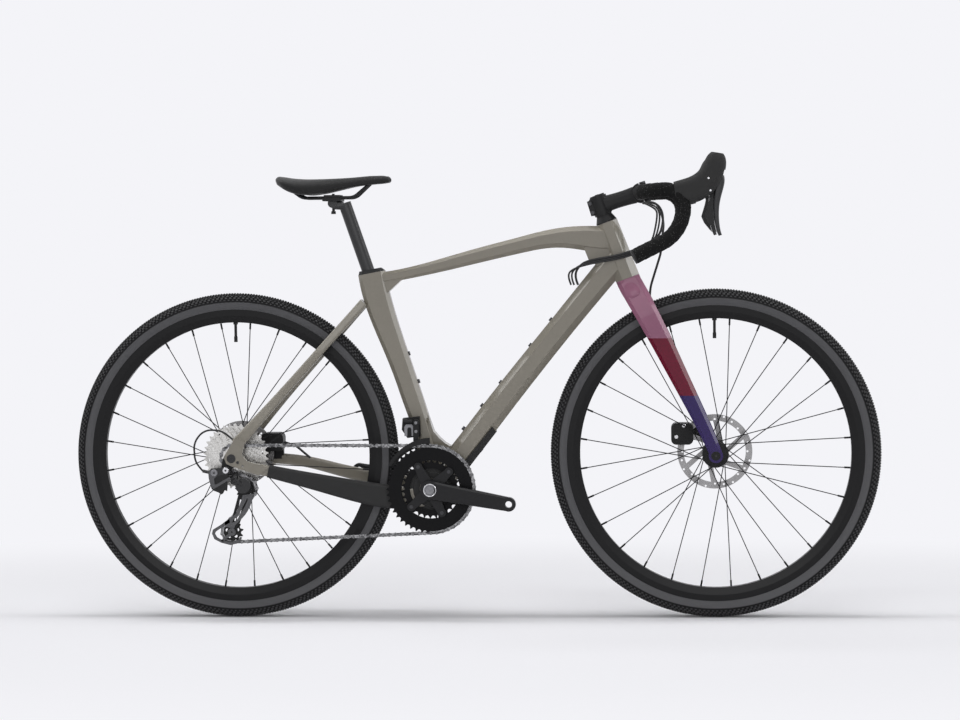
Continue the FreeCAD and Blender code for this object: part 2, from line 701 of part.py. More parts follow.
clamp_low = SEAT_TUBE[-1]
clamp_high = (clamp_low[0] + SEAT_UP * 8 + SEAT_FORWARD * -1, clamp_low[1], clamp_low[2] * 0.80,
              clamp_low[3] * 0.96, clamp_low[4])
clamp_base = (clamp_low[0], clamp_low[1], clamp_low[2] * 0.99, clamp_low[3] * 0.99, clamp_low[4])
clamp_cover = loft([clamp_base, clamp_high], faceted=True).cut(post_bore).cut(frame_outside)
shaped("seat_clamp", max(clamp_cover.Solids, key=lambda solid: solid.Volume))

# Bottom bracket: two cups, each with a bearing

bb_members = []
for side in (-1, 1):
    inner = f"{side} * (bb_shell_width / 2 - 20)"
    face = f"{side} * bb_shell_width / 2"
    lip = f"{side} * (bb_shell_width / 2 + 2.4)"
    tag = "left" if side > 0 else "right"
    cup = [("18.5", inner), ("bb_cup_diameter / 2", inner), ("bb_cup_diameter / 2", face), ("23", face),
           ("23", lip), ("18.5", lip)]
    race = [("12.05", f"{side} * (bb_shell_width / 2 - 7)"), ("18.5", f"{side} * (bb_shell_width / 2 - 7)"),
            ("18.5", lip), ("12.05", lip)]
    bb_members.append(turned(f"bb_cup_{tag}", [cup], BB))
    bb_members.append(turned(f"bb_bearing_{tag}", [race], BB))
group("bottom_bracket", bb_members)

# Headset bearings in the head tube

upper_race = [("steerer_diameter / 2 + 0.05", "0"), ("20.95", "0"), ("20.95", "7.6"),
              ("steerer_diameter / 2 + 0.05", "7.6")]
lower_race = [("steerer_base_diameter / 2 + 0.05", "0"), ("23.45", "0"), ("23.45", "7.6"),
              ("steerer_base_diameter / 2 + 0.05", "7.6")]
group("headset_bearings", [turned("upper_bearing", [upper_race], HEAD_TOP - STEER_UP * 8, STEER_UP),
                           turned("lower_bearing", [lower_race], HEAD_BOTTOM + STEER_UP * 0.4, STEER_UP)])

# Fork: steerer, crown and two legs

FORK_ROWS = [
    (0.00, 0.0, 1.10, 1.20, 16), (0.09, 1.5, 1.09, 1.12, 29), (0.18, 3.5, 1.06, 1.06, 38),
    (0.34, 5.0, 0.97, 1.00, 41.5), (0.50, 5.0, 0.86, 0.95, 45), (0.69, 5.0, 0.73, 0.88, 50.5),
    (0.90, 4.0, 0.62, 0.76, 56), (1.00, 1.5, 0.58, 0.70, 57),
]
crown_top = HEAD_BOTTOM - STEER_UP * PRESS_GAP
leg_stations = along_chord(crown_top - STEER_UP * 4, FRONT_AXLE, FORK_ROWS,
                           value("fork_leg_depth"), value("fork_leg_width"), 0.8)
leg = loft(leg_stations, faceted=True)
leg_tip = Part.makeCylinder(15, 14, FRONT_AXLE + LEFT * 50.2, LEFT)
hub_room = rod(FRONT_AXLE - LEFT * 50.2, FRONT_AXLE + LEFT * 50.2, 60)
crown_spans = [(52, 52), (51.5, 58), (50, 74), (44, 80)]
crown_steps = (0, 10, 26, 44)
crown_lean = turn_in_side_view(STEER_UP * -1, 4)
crown_stations = [(crown_top + crown_lean * step, STEER_UP, deep, wide, 0.8)
                  for step, (deep, wide) in zip(crown_steps, crown_spans)]
crown = loft(crown_stations)
wheel_room = rod(FRONT_AXLE - LEFT * 26, FRONT_AXLE + LEFT * 26, TYRE_R + 9)

STACK_TOP = HEAD_TOP + STEER_UP * 58
steerer_radius = value("steerer_diameter / 2")
steerer_low = Part.makeCone(value("steerer_base_diameter / 2"), steerer_radius, 60,
                            HEAD_BOTTOM + STEER_UP * 9, STEER_UP)
steerer_foot = Part.makeCylinder(value("steerer_base_diameter / 2"), 12, HEAD_BOTTOM - STEER_UP * 3, STEER_UP)
steerer_run = rod(HEAD_BOTTOM + STEER_UP * 60, STACK_TOP - STEER_UP * 3, steerer_radius)
fork = fused([leg, mirrored(leg), leg_tip, mirrored(leg_tip), crown])
fork = fork.cut(wheel_room).cut(hub_room)
fork = fused([max(fork.Solids, key=lambda solid: solid.Volume), steerer_low, steerer_foot, steerer_run])
fork = fork.cut(rod(FRONT_AXLE - LEFT * 90, FRONT_AXLE + LEFT * 90, value("axle_diameter / 2")))
fork = fork.cut(rod(HEAD_BOTTOM - STEER_UP * 20, STACK_TOP + STEER_UP, steerer_radius - 2.5))
shaped("fork", fork)

# Headset stack: cover cone, spacer and top cap

bore = "steerer_diameter / 2 + 0.05"
cover_loop = [(bore, "0.4"), ("22.6", "0.4"), ("22.4", "2.5"), ("17", "15"), (bore, "15")]
spacer_loop = [(bore, "15"), ("17", "15"), ("17", "18"), (bore, "18")]
cap_loop = [("4", "58"), ("16.5", "58"), ("15.5", "61.5"), ("4", "61.5")]
group("headset_stack", [turned("headset_cover", [cover_loop], HEAD_TOP, STEER_UP),
                        turned("headset_spacer", [spacer_loop], HEAD_TOP, STEER_UP),
                        turned("headset_cap", [cap_loop], HEAD_TOP, STEER_UP)])

# Stem, its faceplate and the bolts of the cockpit

STEM_AIM = turn_in_side_view(STEER_FORWARD, -value("stem_drop_angle"))
STEM_CENTRE = HEAD_TOP + STEER_UP * (18 + value("stem_clamp_height / 2"))
BAR_CENTRE = STEM_CENTRE + STEM_AIM * value("stem_length")
STEM_ACROSS = Vector(-STEM_AIM.z, 0, STEM_AIM.x)
clamp_r = value("bar_clamp_diameter / 2")
steerer_clamp = Part.makeCylinder(19, value("stem_clamp_height"), HEAD_TOP + STEER_UP * 18, STEER_UP)
stem_arm = loft([(STEM_CENTRE + STEM_AIM * 2, STEM_AIM, 38, 34, 0.7),
                 (STEM_CENTRE + STEM_AIM * 36, STEM_AIM, 33, 31, 0.8),
                 (BAR_CENTRE - STEM_AIM * 14, STEM_AIM, 36, 36, 0.7)])
pinch_lug = loft([(STEM_CENTRE - STEM_AIM * 12, STEM_AIM, 36, 26, 0.4),
                  (STEM_CENTRE - STEM_AIM * 25, STEM_AIM, 32, 24, 0.4)])
bar_clamp = rod(BAR_CENTRE - LEFT * 21, BAR_CENTRE + LEFT * 21, clamp_r + 5.5)
stem_whole = fused([steerer_clamp, stem_arm, bar_clamp, pinch_lug])
stem_whole = stem_whole.cut(rod(BAR_CENTRE - LEFT * 50, BAR_CENTRE + LEFT * 50, clamp_r))
stem_whole = stem_whole.cut(rod(HEAD_TOP, HEAD_TOP + STEER_UP * 80, steerer_radius + FIT))
stem_whole = stem_whole.cut(loft([(STEM_CENTRE - STEM_AIM * 12, STEM_AIM, 60, 1.4, 0.2),
                                  (STEM_CENTRE - STEM_AIM * 40, STEM_AIM, 60, 1.4, 0.2)]))
front_half = loft([(BAR_CENTRE + STEM_AIM * 2, STEM_AIM, 80, 80, 0.1),
                   (BAR_CENTRE + STEM_AIM * 60, STEM_AIM, 80, 80, 0.1)])
split_gap = loft([(BAR_CENTRE + STEM_AIM * 0.5, STEM_AIM, 80, 80, 0.1),
                  (BAR_CENTRE + STEM_AIM * 60, STEM_AIM, 80, 80, 0.1)])
BOLT_PLACES = [(rise, y) for rise in (-18.6, 18.6) for y in (-13, 13)]
face_bolts = []
for rise, y in BOLT_PLACES:
    foot = BAR_CENTRE + STEM_ACROSS * rise + LEFT * y
    face_bolts.append(rod(foot + STEM_AIM * 2.2, foot + STEM_AIM * 15, 3.8))
pinch_bolts = []
for rise in (-10, 10):
    foot = STEM_CENTRE - STEM_AIM * 20 + STEM_ACROSS * rise
    pinch_bolts.append(rod(foot - LEFT * 15, foot - LEFT * 8, 3.8))
faceplate = stem_whole.common(front_half)
stem = stem_whole.cut(split_gap)
for bolt in face_bolts:
    faceplate = faceplate.cut(bolt)
    stem = stem.cut(bolt)
for bolt in pinch_bolts:
    stem = stem.cut(bolt)
bar_slot = rod(BAR_CENTRE - LEFT * 50, BAR_CENTRE + LEFT * 50, clamp_r)
cap_bolt = Part.makeCylinder(4, 8, HEAD_TOP + STEER_UP * 54.5, STEER_UP)
shaped("stem", max(stem.Solids, key=lambda solid: solid.Volume))
shaped("stem_faceplate", max(faceplate.Solids, key=lambda solid: solid.Volume))
face_bolts = [bolt.cut(bar_slot) for bolt in face_bolts]
shaped("cockpit_bolts", Part.makeCompound(face_bolts + pinch_bolts + [cap_bolt]))

# Handlebar with its tape and plugs

bar_x, bar_z = BAR_CENTRE.x, BAR_CENTRE.z
half = value("bar_half_width")
reach = value("bar_reach")
drop = value("bar_drop")
BAR_CORNERS = [
    at(bar_x, bar_z, -half + 3), at(bar_x + reach, bar_z + 6, -half - 4),
    at(bar_x + reach - 1, bar_z - 84, -half - 14), at(bar_x - 12, bar_z - drop, -half - 26),
]
BAR_BENDS = 50.0
BAR_LOOP = 82.0


def half_bar(start_y, radius):
    """One half of the bar from a distance beside the stem to its end."""
    corners = [at(bar_x, bar_z, -start_y)] + BAR_CORNERS
    path = rounded_bar(corners)
    circle = Part.Wire(Part.makeCircle(radius, corners[0], corners[1] - corners[0]))
    return outward(path.makePipeShell([circle], True, False))


def rounded_bar(corners):
    """The bar's path with its own radius at each bend."""
    edges = []
    last = corners[0]
    for i, bend in zip(range(1, len(corners) - 1), (BAR_BENDS, 40.0, BAR_LOOP)):
        into = (corners[i] - corners[i - 1]).normalize()
        out = (corners[i + 1] - corners[i]).normalize()
        half_turn = into.getAngle(out) / 2
        step = bend * math.tan(half_turn)
        begin = corners[i] - into * step
        stop = corners[i] + out * step
        inward = (out - into).normalize()
        middle = corners[i] + inward * (bend / math.cos(half_turn) - bend)
        edges.append(Part.LineSegment(last, begin).toShape())
        edges.append(Part.Arc(begin, middle, stop).toShape())
        last = stop
    edges.append(Part.LineSegment(last, corners[-1]).toShape())
    return Part.Wire(edges)


bar_r = value("bar_diameter / 2")
tape_r = bar_r + value("tape_thickness")
TAPE_START = 66.0
bulge = rod(BAR_CENTRE - LEFT * 30, BAR_CENTRE + LEFT * 30, clamp_r)
shoulder = Part.makeCone(clamp_r, bar_r, 30, BAR_CENTRE + LEFT * 30, LEFT)
half_right = half_bar(25, bar_r)
bar_solid = fused([half_right, mirrored(half_right), bulge, shoulder, mirrored(shoulder)])
bore_right = half_bar(25, bar_r - 2.2)
bar_bore = rod(BAR_CENTRE - LEFT * 26, BAR_CENTRE + LEFT * 26, bar_r - 2.2)
handlebar = bar_solid.cut(bore_right).cut(mirrored(bore_right)).cut(bar_bore)
shaped("handlebar", handlebar)
tape_outer = half_bar(TAPE_START, tape_r)
tape_right = tape_outer.cut(half_bar(TAPE_START - 5, bar_r))
shaped("bar_tape", Part.makeCompound([tape_right, mirrored(tape_right)]))
bar_end = BAR_CORNERS[-1]
bar_end_aim = (BAR_CORNERS[-1] - BAR_CORNERS[-2]).normalize()
plug = fused([rod(bar_end, bar_end + bar_end_aim * 3.5, tape_r - 0.6),
              rod(bar_end - bar_end_aim * 14, bar_end, bar_r - 2.3)])
shaped("bar_plugs", Part.makeCompound([plug, mirrored(plug)]))

# Lever hoods, brake levers and shift paddles, measured from the bar's front bend

HOOD_Y = BAR_CORNERS[1].y + 1
LEVER_PIVOT = at(bar_x + 145, bar_z + 18, HOOD_Y)
HOOD_LINE = [((70, -3), (43, 33)), ((104, 2), (52, 35)), ((130, 15), (54, 37)), ((148, 42), (48, 36)),
             ((154, 64), (40, 31)), ((156, 76), (24, 20))]
LEVER_LINE = [((158, 30), (22, 18)), ((159, 10), (20, 17)), ((155, -14), (15, 15)), ((153, -44), (11, 13)),
              ((155, -69), (9, 12)), ((161, -91), (7, 10))]
PADDLE_LINE = [(147, -2), (150, -24), (150, -62), (157, -88), (148, -79), (136, -64), (130, -50), (138, -24),
               (142, -4)]
LEVER_HALF = 9.0
PIVOT_PIN = 2.5

hood_centres = [at(bar_x + dx, bar_z + dz, HOOD_Y) for (dx, dz), span in HOOD_LINE]
hood = loft(stations_through(hood_centres, [span for place, span in HOOD_LINE], 0.85))
lever_room = rod(LEVER_PIVOT - LEFT * 10.5, LEVER_PIVOT + LEFT * 10.5, 24)
FRONT_ROOM = [(-30, -60), (60, -60), (60, 26), (8, 22), (-22, -8)]
front_room = plate(from_point(LEVER_PIVOT, FRONT_ROOM), HOOD_Y - 10.5, HOOD_Y + 10.5)
hood_pin = rod(LEVER_PIVOT - LEFT * 16, LEVER_PIVOT + LEFT * 16, PIVOT_PIN)
hood = hood.cut(tape_outer).cut(lever_room).cut(front_room).cut(hood_pin)
hood = max(hood.Solids, key=lambda solid: solid.Volume)
shaped("lever_hoods", Part.makeCompound(mirror_list([hood, hood_pin])))

lever_centres = [at(bar_x + dx, bar_z + dz, HOOD_Y) for (dx, dz), span in LEVER_LINE]
lever = loft(stations_through(lever_centres, [span for place, span in LEVER_LINE], 0.85))
lever_boss = rod(LEVER_PIVOT - LEFT * LEVER_HALF, LEVER_PIVOT + LEFT * LEVER_HALF, 11)
PADDLE_AXIS = Vector(1, 0, 0.1).normalize()
PADDLE_PIVOT = at(bar_x + 144.5, bar_z - 8, HOOD_Y)
paddle_pin = rod(PADDLE_PIVOT - PADDLE_AXIS * 6, PADDLE_PIVOT + PADDLE_AXIS * 10, 1.6)
lever = fused([lever, lever_boss, paddle_pin])
lever = lever.cut(rod(LEVER_PIVOT - LEFT * 20, LEVER_PIVOT + LEFT * 20, PIVOT_PIN + FIT))
shaped("brake_lever_right", lever)
shaped("brake_lever_left", mirrored(lever))

paddle_plate = plate([(bar_x + dx, bar_z + dz) for dx, dz in PADDLE_LINE], HOOD_Y - 2, HOOD_Y + 2)
paddle_boss = rod(PADDLE_PIVOT - PADDLE_AXIS * 5.5, PADDLE_PIVOT + PADDLE_AXIS * 2, 4.5)
lever_clear = loft(stations_through(lever_centres, [span for place, span in LEVER_LINE], 0.85), 0.5)
paddle = fused([paddle_plate, paddle_boss]).cut(lever_clear)
paddle = paddle.cut(rod(PADDLE_PIVOT - PADDLE_AXIS * 20, PADDLE_PIVOT + PADDLE_AXIS * 20, 1.6 + FIT))
paddle = max(paddle.Solids, key=lambda solid: solid.Volume)
shaped("shift_paddle_right", paddle)
shaped("shift_paddle_left", mirrored(paddle))

# Seatpost with a set-back head, saddle clamp, rails and saddle

POST_HEAD = SEAT_TOP + SEAT_UP * value("seatpost_rise")
CLAMP_PIVOT = POST_HEAD - Vector(value("seatpost_setback"), 0, 0)
RAIL_Z = CLAMP_PIVOT.z + 11.5
RAIL_Y = 22.0
rail_r = value("rail_diameter / 2")
post_low = SEAT_TOP - SEAT_UP * value("seatpost_inside")
post_tube = rod(post_low, POST_HEAD, post_radius)
post_neck = loft([(POST_HEAD - SEAT_UP * 2 - SEAT_FORWARD * 2, SEAT_FORWARD, 26, 27, 0.8),
                  (CLAMP_PIVOT - SEAT_FORWARD * 2 + Vector(0, 0, -3), SEAT_FORWARD, 20, 34, 0.6)])
post_cradle = rod(CLAMP_PIVOT - LEFT * 17, CLAMP_PIVOT + LEFT * 17, 10)
post_hollow_top = SEAT_TOP + SEAT_UP * (value("seatpost_rise") - 30)
post_bore_inner = rod(post_low, post_hollow_top, post_radius - value("seatpost_wall"))
seatpost = fused([post_tube, post_neck, post_cradle]).cut(post_bore_inner)

rail_grooves = [rod(at(CLAMP_PIVOT.x - 40, RAIL_Z, y), at(CLAMP_PIVOT.x + 40, RAIL_Z, y), rail_r)
                for y in (-RAIL_Y, RAIL_Y)]
lower_clamp = block(at(CLAMP_PIVOT.x - 20, RAIL_Z - 7, -28), at(CLAMP_PIVOT.x + 20, RAIL_Z - 0.4, 28))
upper_clamp = block(at(CLAMP_PIVOT.x - 17, RAIL_Z + 0.4, -27), at(CLAMP_PIVOT.x + 17, RAIL_Z + 6, 27))
clamp_bolt = rod(at(CLAMP_PIVOT.x, CLAMP_PIVOT.z - 17), at(CLAMP_PIVOT.x, RAIL_Z + 9), 3)
bolt_head = rod(at(CLAMP_PIVOT.x, CLAMP_PIVOT.z - 23), at(CLAMP_PIVOT.x, CLAMP_PIVOT.z - 17), 5)
for groove in rail_grooves:
    lower_clamp = lower_clamp.cut(groove)
    upper_clamp = upper_clamp.cut(groove)
clamp_screw = fused([clamp_bolt, bolt_head])
lower_clamp = lower_clamp.cut(seatpost).cut(clamp_screw)
lower_clamp = max(lower_clamp.Solids, key=lambda solid: solid.Volume)
upper_clamp = upper_clamp.cut(clamp_screw)
seatpost = seatpost.cut(rod(at(CLAMP_PIVOT.x, CLAMP_PIVOT.z - 40), at(CLAMP_PIVOT.x, RAIL_Z + 9), 3))
seatpost = seatpost.cut(bolt_head)
shaped("seatpost", max(seatpost.Solids, key=lambda solid: solid.Volume))
shaped("saddle_clamp", Part.makeCompound([lower_clamp, upper_clamp, clamp_screw]))

# Saddle: crowned on top, drawn in below, with rails that run from nose to tail

SADDLE_X = CLAMP_PIVOT.x
SADDLE_ROWS = [
    (-0.485, 46, 13, 0.55), (-0.44, 46, 22, 0.86), (-0.36, 43, 30, 1.00), (-0.24, 40.5, 34, 0.96),
    (-0.10, 40.5, 32, 0.72), (0.06, 42, 26, 0.46), (0.22, 44, 20, 0.34), (0.38, 46, 18, 0.30),
    (0.47, 45, 15, 0.26), (0.51, 41, 9, 0.16),
]


def saddle_section(x, top, depth, width):
    """A crowned section across the saddle whose sides draw in towards its base."""
    half_width = width / 2
    base = top - depth
    right = [at(x, top - depth * 0.45, -half_width), at(x, top - depth * 0.80, -half_width * 0.96),
             at(x, base, -half_width * 0.80)]
    left = [at(p.x, p.z, -p.y) for p in right]
    curve = Part.BSplineCurve()
    curve.interpolate([right[0], at(x, top - depth * 0.05, -half_width * 0.55), at(x, top, 0),
                       at(x, top - depth * 0.05, half_width * 0.55), left[0]])
    left_side = Part.Arc(left[0], left[1], left[2]).toShape()
    bottom = Part.LineSegment(left[2], right[2]).toShape()
    right_side = Part.Arc(right[2], right[1], right[0]).toShape()
    return Part.Wire([curve.toShape(), left_side, bottom, right_side])


saddle_wires = [saddle_section(SADDLE_X + ratio * value("saddle_length"), RAIL_Z + top, depth,
                               w * value("saddle_width"))
                for ratio, top, depth, w in SADDLE_ROWS]
saddle = outward(Part.makeLoft(saddle_wires, True, False))
nose = SADDLE_X + 0.30 * value("saddle_length")
tail = SADDLE_X - 0.40 * value("saddle_length")
RAIL_CORNERS = [
    at(tail, RAIL_Z + 26, RAIL_Y + 10), at(tail + 34, RAIL_Z, RAIL_Y), at(nose - 26, RAIL_Z, RAIL_Y),
    at(nose + 8, RAIL_Z + 30, 9),
]
rail_left = pipe(RAIL_CORNERS, 26, rail_r).cut(saddle)
rail_left = max(rail_left.Solids, key=lambda solid: solid.Volume)
shaped("saddle_rails", Part.makeCompound([mirrored(rail_left), rail_left]))
shaped("saddle", saddle)

# Drive train: places of the rings, cogs and pulleys

RING_Y = {"big": -49.4, "small": -44.6}
COGS = (11, 13, 15, 17, 19, 21, 23, 25, 27, 30, 34)
SMALL_COG_Y = -59.0
CHAIN_COG = 1
CHAIN_Y = SMALL_COG_Y + CHAIN_COG * value("cog_pitch")
PITCH = value("chain_pitch")
ROLLER_R = value("roller_diameter / 2")
SEAT_R = ROLLER_R + 0.15
GUIDE = REAR_AXLE + Vector(27, 0, -66)
CAGE_REACH = 98.0
CAGE_AIM = -109.0


def pitch_radius(teeth):
    """The radius of the circle that the chain's pins follow."""
    return PITCH / (2 * math.sin(math.pi / teeth))


def tangent_run(first, second):
    """The straight chain run from one toothed wheel to the next, as two side-view points."""
    (c1, r1, s1, y1), (c2, r2, s2, y2) = first, second
    span = math.hypot(c2.x - c1.x, c2.z - c1.z)
    heading = math.atan2(c2.z - c1.z, c2.x - c1.x) - math.asin((s2 * r2 - s1 * r1) / span)
    side = (-math.sin(heading), math.cos(heading))
    leave = Vector(c1.x - s1 * r1 * side[0], y1, c1.z - s1 * r1 * side[1])
    arrive = Vector(c2.x - s2 * r2 * side[0], y2, c2.z - s2 * r2 * side[1])
    return leave, arrive


def chain_wheels(cage_degrees):
    """The four wheels in the order the chain meets them, with the way it turns on each."""
    tension = on_wheel(GUIDE, CAGE_REACH, cage_degrees, 0)
    small = pitch_radius(value("pulley_teeth"))
    return [
        (BB, pitch_radius(value("big_ring_teeth")), -1, RING_Y["big"]),
        (tension, small, -1, CHAIN_Y),
        (GUIDE, small, 1, CHAIN_Y),
        (REAR_AXLE, pitch_radius(COGS[CHAIN_COG]), -1, CHAIN_Y),
    ]


def chain_pieces(wheels):
    """The chain's path as arcs and runs, each with its length and a rule for its points."""
    runs = [tangent_run(wheels[i], wheels[(i + 1) % 4]) for i in range(4)]
    pieces = []
    for i, (centre, radius, sense, y) in enumerate(wheels):
        arrive = runs[i - 1][1]
        leave = runs[i][0]
        start = math.atan2(arrive.z - centre.z, arrive.x - centre.x)
        stop = math.atan2(leave.z - centre.z, leave.x - centre.x)
        sweep = (sense * (stop - start)) % (2 * math.pi)
        pieces.append((radius * sweep, ("arc", centre, radius, start, sense, y)))
        pieces.append(((runs[i][1] - runs[i][0]).Length, ("run", runs[i][0], runs[i][1])))
    return pieces


def chain_point(pieces, distance):
    """The point of the chain's path at a distance from its start."""
    total = sum(length for length, rule in pieces)
    distance = distance % total
    for length, rule in pieces:
        if distance <= length:
            if rule[0] == "run":
                return rule[1] + (rule[2] - rule[1]) * (distance / length)
            kind, centre, radius, start, sense, y = rule
            angle = start + sense * distance / radius
            return Vector(centre.x + radius * math.cos(angle), y, centre.z + radius * math.sin(angle))
        distance -= length
    return pieces[0][1][1]


def march(pieces, count):
    """Pins one pitch apart along the path, and the distance of the last from a closed loop."""
    place = 0.0
    pins = [chain_point(pieces, 0.0)]
    for i in range(count):
        low, high = place + 0.9 * PITCH, place + 1.1 * PITCH
        for halving in range(40):
            middle = (low + high) / 2
            if (chain_point(pieces, middle) - pins[-1]).Length < PITCH:
                low = middle
            else:
                high = middle
        place = (low + high) / 2
        pins.append(chain_point(pieces, place))
    return pins[:-1], place - sum(length for length, rule in pieces)


nominal = sum(length for length, rule in chain_pieces(chain_wheels(CAGE_AIM)))
LINKS = 2 * int(nominal / (2 * PITCH))
cage_low, cage_high = CAGE_AIM - 25, CAGE_AIM + 25
for halving in range(30):
    cage_degrees = (cage_low + cage_high) / 2
    pins, surplus = march(chain_pieces(chain_wheels(cage_degrees)), LINKS)
    if surplus > 0:
        cage_high = cage_degrees
    else:
        cage_low = cage_degrees
TENSION = on_wheel(GUIDE, CAGE_REACH, cage_degrees, 0)


def tooth_phase(centre, radius):
    """The angle of a pin that lies on a wheel's pitch circle."""
    seated = min(pins, key=lambda pin: abs(math.hypot(pin.x - centre.x, pin.z - centre.z) - radius))
    return math.atan2(seated.z - centre.z, seated.x - centre.x)


def sprocket(teeth, centre, y, thick, phase, tip=2.2, land=0.5):
    """A toothed disc whose gaps seat the chain's rollers."""
    radius = pitch_radius(teeth)
    step = 2 * math.pi / teeth
    edges = []
    last = None
    first = None

    def place(angle, along, out):
        base = radius + out
        return Vector(centre.x + base * math.cos(angle) - along * math.sin(angle), y - thick / 2,
                      centre.z + base * math.sin(angle) + along * math.cos(angle))

    hug = math.radians(75)
    for i in range(int(teeth)):
        angle = phase + i * step
        begin = place(angle, -SEAT_R * math.sin(hug), -SEAT_R * math.cos(hug))
        middle = place(angle, 0, -SEAT_R)
        stop = place(angle, SEAT_R * math.sin(hug), -SEAT_R * math.cos(hug))
        crest_before = place(angle - step / 2, land, tip)
        crest_after = place(angle + step / 2, -land, tip)
        if last is not None:
            edges.append(Part.LineSegment(last, crest_before).toShape())
        else:
            first = crest_before
        edges.append(Part.LineSegment(crest_before, begin).toShape())
        edges.append(Part.Arc(begin, middle, stop).toShape())
        edges.append(Part.LineSegment(stop, crest_after).toShape())
        last = crest_after
    edges.append(Part.LineSegment(last, first).toShape())
    face = Part.Face(Part.Wire(edges))
    return outward(face.extrude(Vector(0, thick, 0)))


# Chain of inner and outer links

INNER_HALF = 1.1
INNER_PLATE = 0.8
OUTER_START = 2.0
OUTER_PLATE = 0.65
PLATE_R = 4.1
PIN_R = 1.8


def link_plate(y_low, thick):
    """A link plate: two round ends and a slim waist."""
    ends = [Part.makeCylinder(PLATE_R, thick, Vector(x, y_low, 0), LEFT) for x in (0, PITCH)]
    waist = Part.makeBox(PITCH, thick, 2 * PLATE_R * 0.78, Vector(0, y_low, -PLATE_R * 0.78))
    return fused(ends + [waist])


def make_inner_link():
    """Two inner plates with their rollers, bored for the pins."""
    link = fused([link_plate(INNER_HALF, INNER_PLATE), link_plate(-INNER_HALF - INNER_PLATE, INNER_PLATE)]
                 + [Part.makeCylinder(ROLLER_R, 2 * INNER_HALF, Vector(x, -INNER_HALF, 0), LEFT)
                    for x in (0, PITCH)])
    for x in (0, PITCH):
        link = link.cut(Part.makeCylinder(PIN_R + 0.1, 10, Vector(x, -5, 0), LEFT))
    return link


def make_outer_link():
    """Two outer plates with the two pins that join them."""
    reach_out = OUTER_START + OUTER_PLATE + 0.1
    return fused([link_plate(OUTER_START, OUTER_PLATE), link_plate(-OUTER_START - OUTER_PLATE, OUTER_PLATE)]
                 + [Part.makeCylinder(PIN_R, 2 * reach_out, Vector(x, -reach_out, 0), LEFT)
                    for x in (0, PITCH)])


link_kinds = (make_inner_link(), make_outer_link())
links = []
for i, pin in enumerate(pins):
    ahead = (pins[(i + 1) % len(pins)] - pin).normalize()
    up = ahead.cross(LEFT).normalize()
    link = link_kinds[i % 2].copy()
    link.Placement = Placement(pin, Rotation(ahead, up.cross(ahead), up, "XZY"))
    links.append(link)
shaped("chain", Part.makeCompound(links))


def clear_of_chain(wheel, centre, reach):
    """The toothed wheel with a link's own shape taken out wherever a tooth reaches into that link."""
    for link, pin in zip(links, pins):
        if math.hypot(pin.x - centre.x, pin.z - centre.z) < reach and wheel.common(link).Volume > 0:
            wheel = wheel.cut(link)
    return max(wheel.Solids, key=lambda solid: solid.Volume)


# Crankset: rings, bolts and two arms

CRANK_AIM = -value("crank_angle")
SPIDER = (54, 128, 232, 306)
RING_BOLT_R = 55.0
SMALL_BOLT_R = 39.0
RING_THICK = 2.0
CHAIN_RING_PHASE = tooth_phase(BB, pitch_radius(value("big_ring_teeth")))


def make_ring(teeth, y, inner, bolt_radius, tab):
    """A chainring: a toothed band with a tab at each spider arm."""
    band = sprocket(teeth, BB, y, RING_THICK, CHAIN_RING_PHASE)
    band = band.cut(rod(BB + LEFT * (y - 5), BB + LEFT * (y + 5), inner))
    tabs = []
    holes = []
    for angle in SPIDER:
        base = on_wheel(BB, bolt_radius, CRANK_AIM + angle, y - RING_THICK / 2)
        foot = on_wheel(BB, inner + 4, CRANK_AIM + angle, y - RING_THICK / 2)
        tabs.append(Part.makeCylinder(tab, RING_THICK, base, LEFT))
        tabs.append(Part.makeCylinder(tab * 1.2, RING_THICK, (base + foot) * 0.5, LEFT))
        holes.append(Part.makeCylinder(4, RING_THICK, base, LEFT))
    whole = fused([band] + tabs)
    for hole in holes:
        whole = whole.cut(hole)
    return whole


big_ring = make_ring(value("big_ring_teeth"), RING_Y["big"], 62, RING_BOLT_R, 9.5)
big_ring = clear_of_chain(big_ring, BB, pitch_radius(value("big_ring_teeth")) + 14)
small_ring = make_ring(value("small_ring_teeth"), RING_Y["small"], 45, SMALL_BOLT_R, 7.5)
shaped("chainrings", Part.makeCompound([big_ring, small_ring]))

SPIDER_FACE = RING_Y["big"] - RING_THICK / 2
SPIDER_OUT = SPIDER_FACE - 6.5
arm_rows = [(0, 42, 18, -61), (40, 38, 17, -63), (100, 34, 14.5, -66.5), (170, 30, 13, -69)]


def crank_arm(aim, side):
    """An arm from the spindle to the pedal eye; side is -1 on the right and 1 on the left."""
    scale = value("crank_length") / 170.0
    centres = [on_wheel(BB, d * scale, aim, side * abs(y)) for d, w, t, y in arm_rows]
    arm = loft(stations_through(centres, [(w, t) for d, w, t, y in arm_rows], 0.6))
    eye = on_wheel(BB, value("crank_length"), aim, 0)
    eye_boss = rod(eye + LEFT * (side * 62.5), eye + LEFT * (side * 75.5), 15)
    boss = rod(BB + LEFT * (side * 46), BB + LEFT * (side * 70), 20)
    whole = fused([arm, eye_boss, boss])
    return whole.cut(rod(eye + LEFT * (side * 40), eye + LEFT * (side * 90), 7.14))


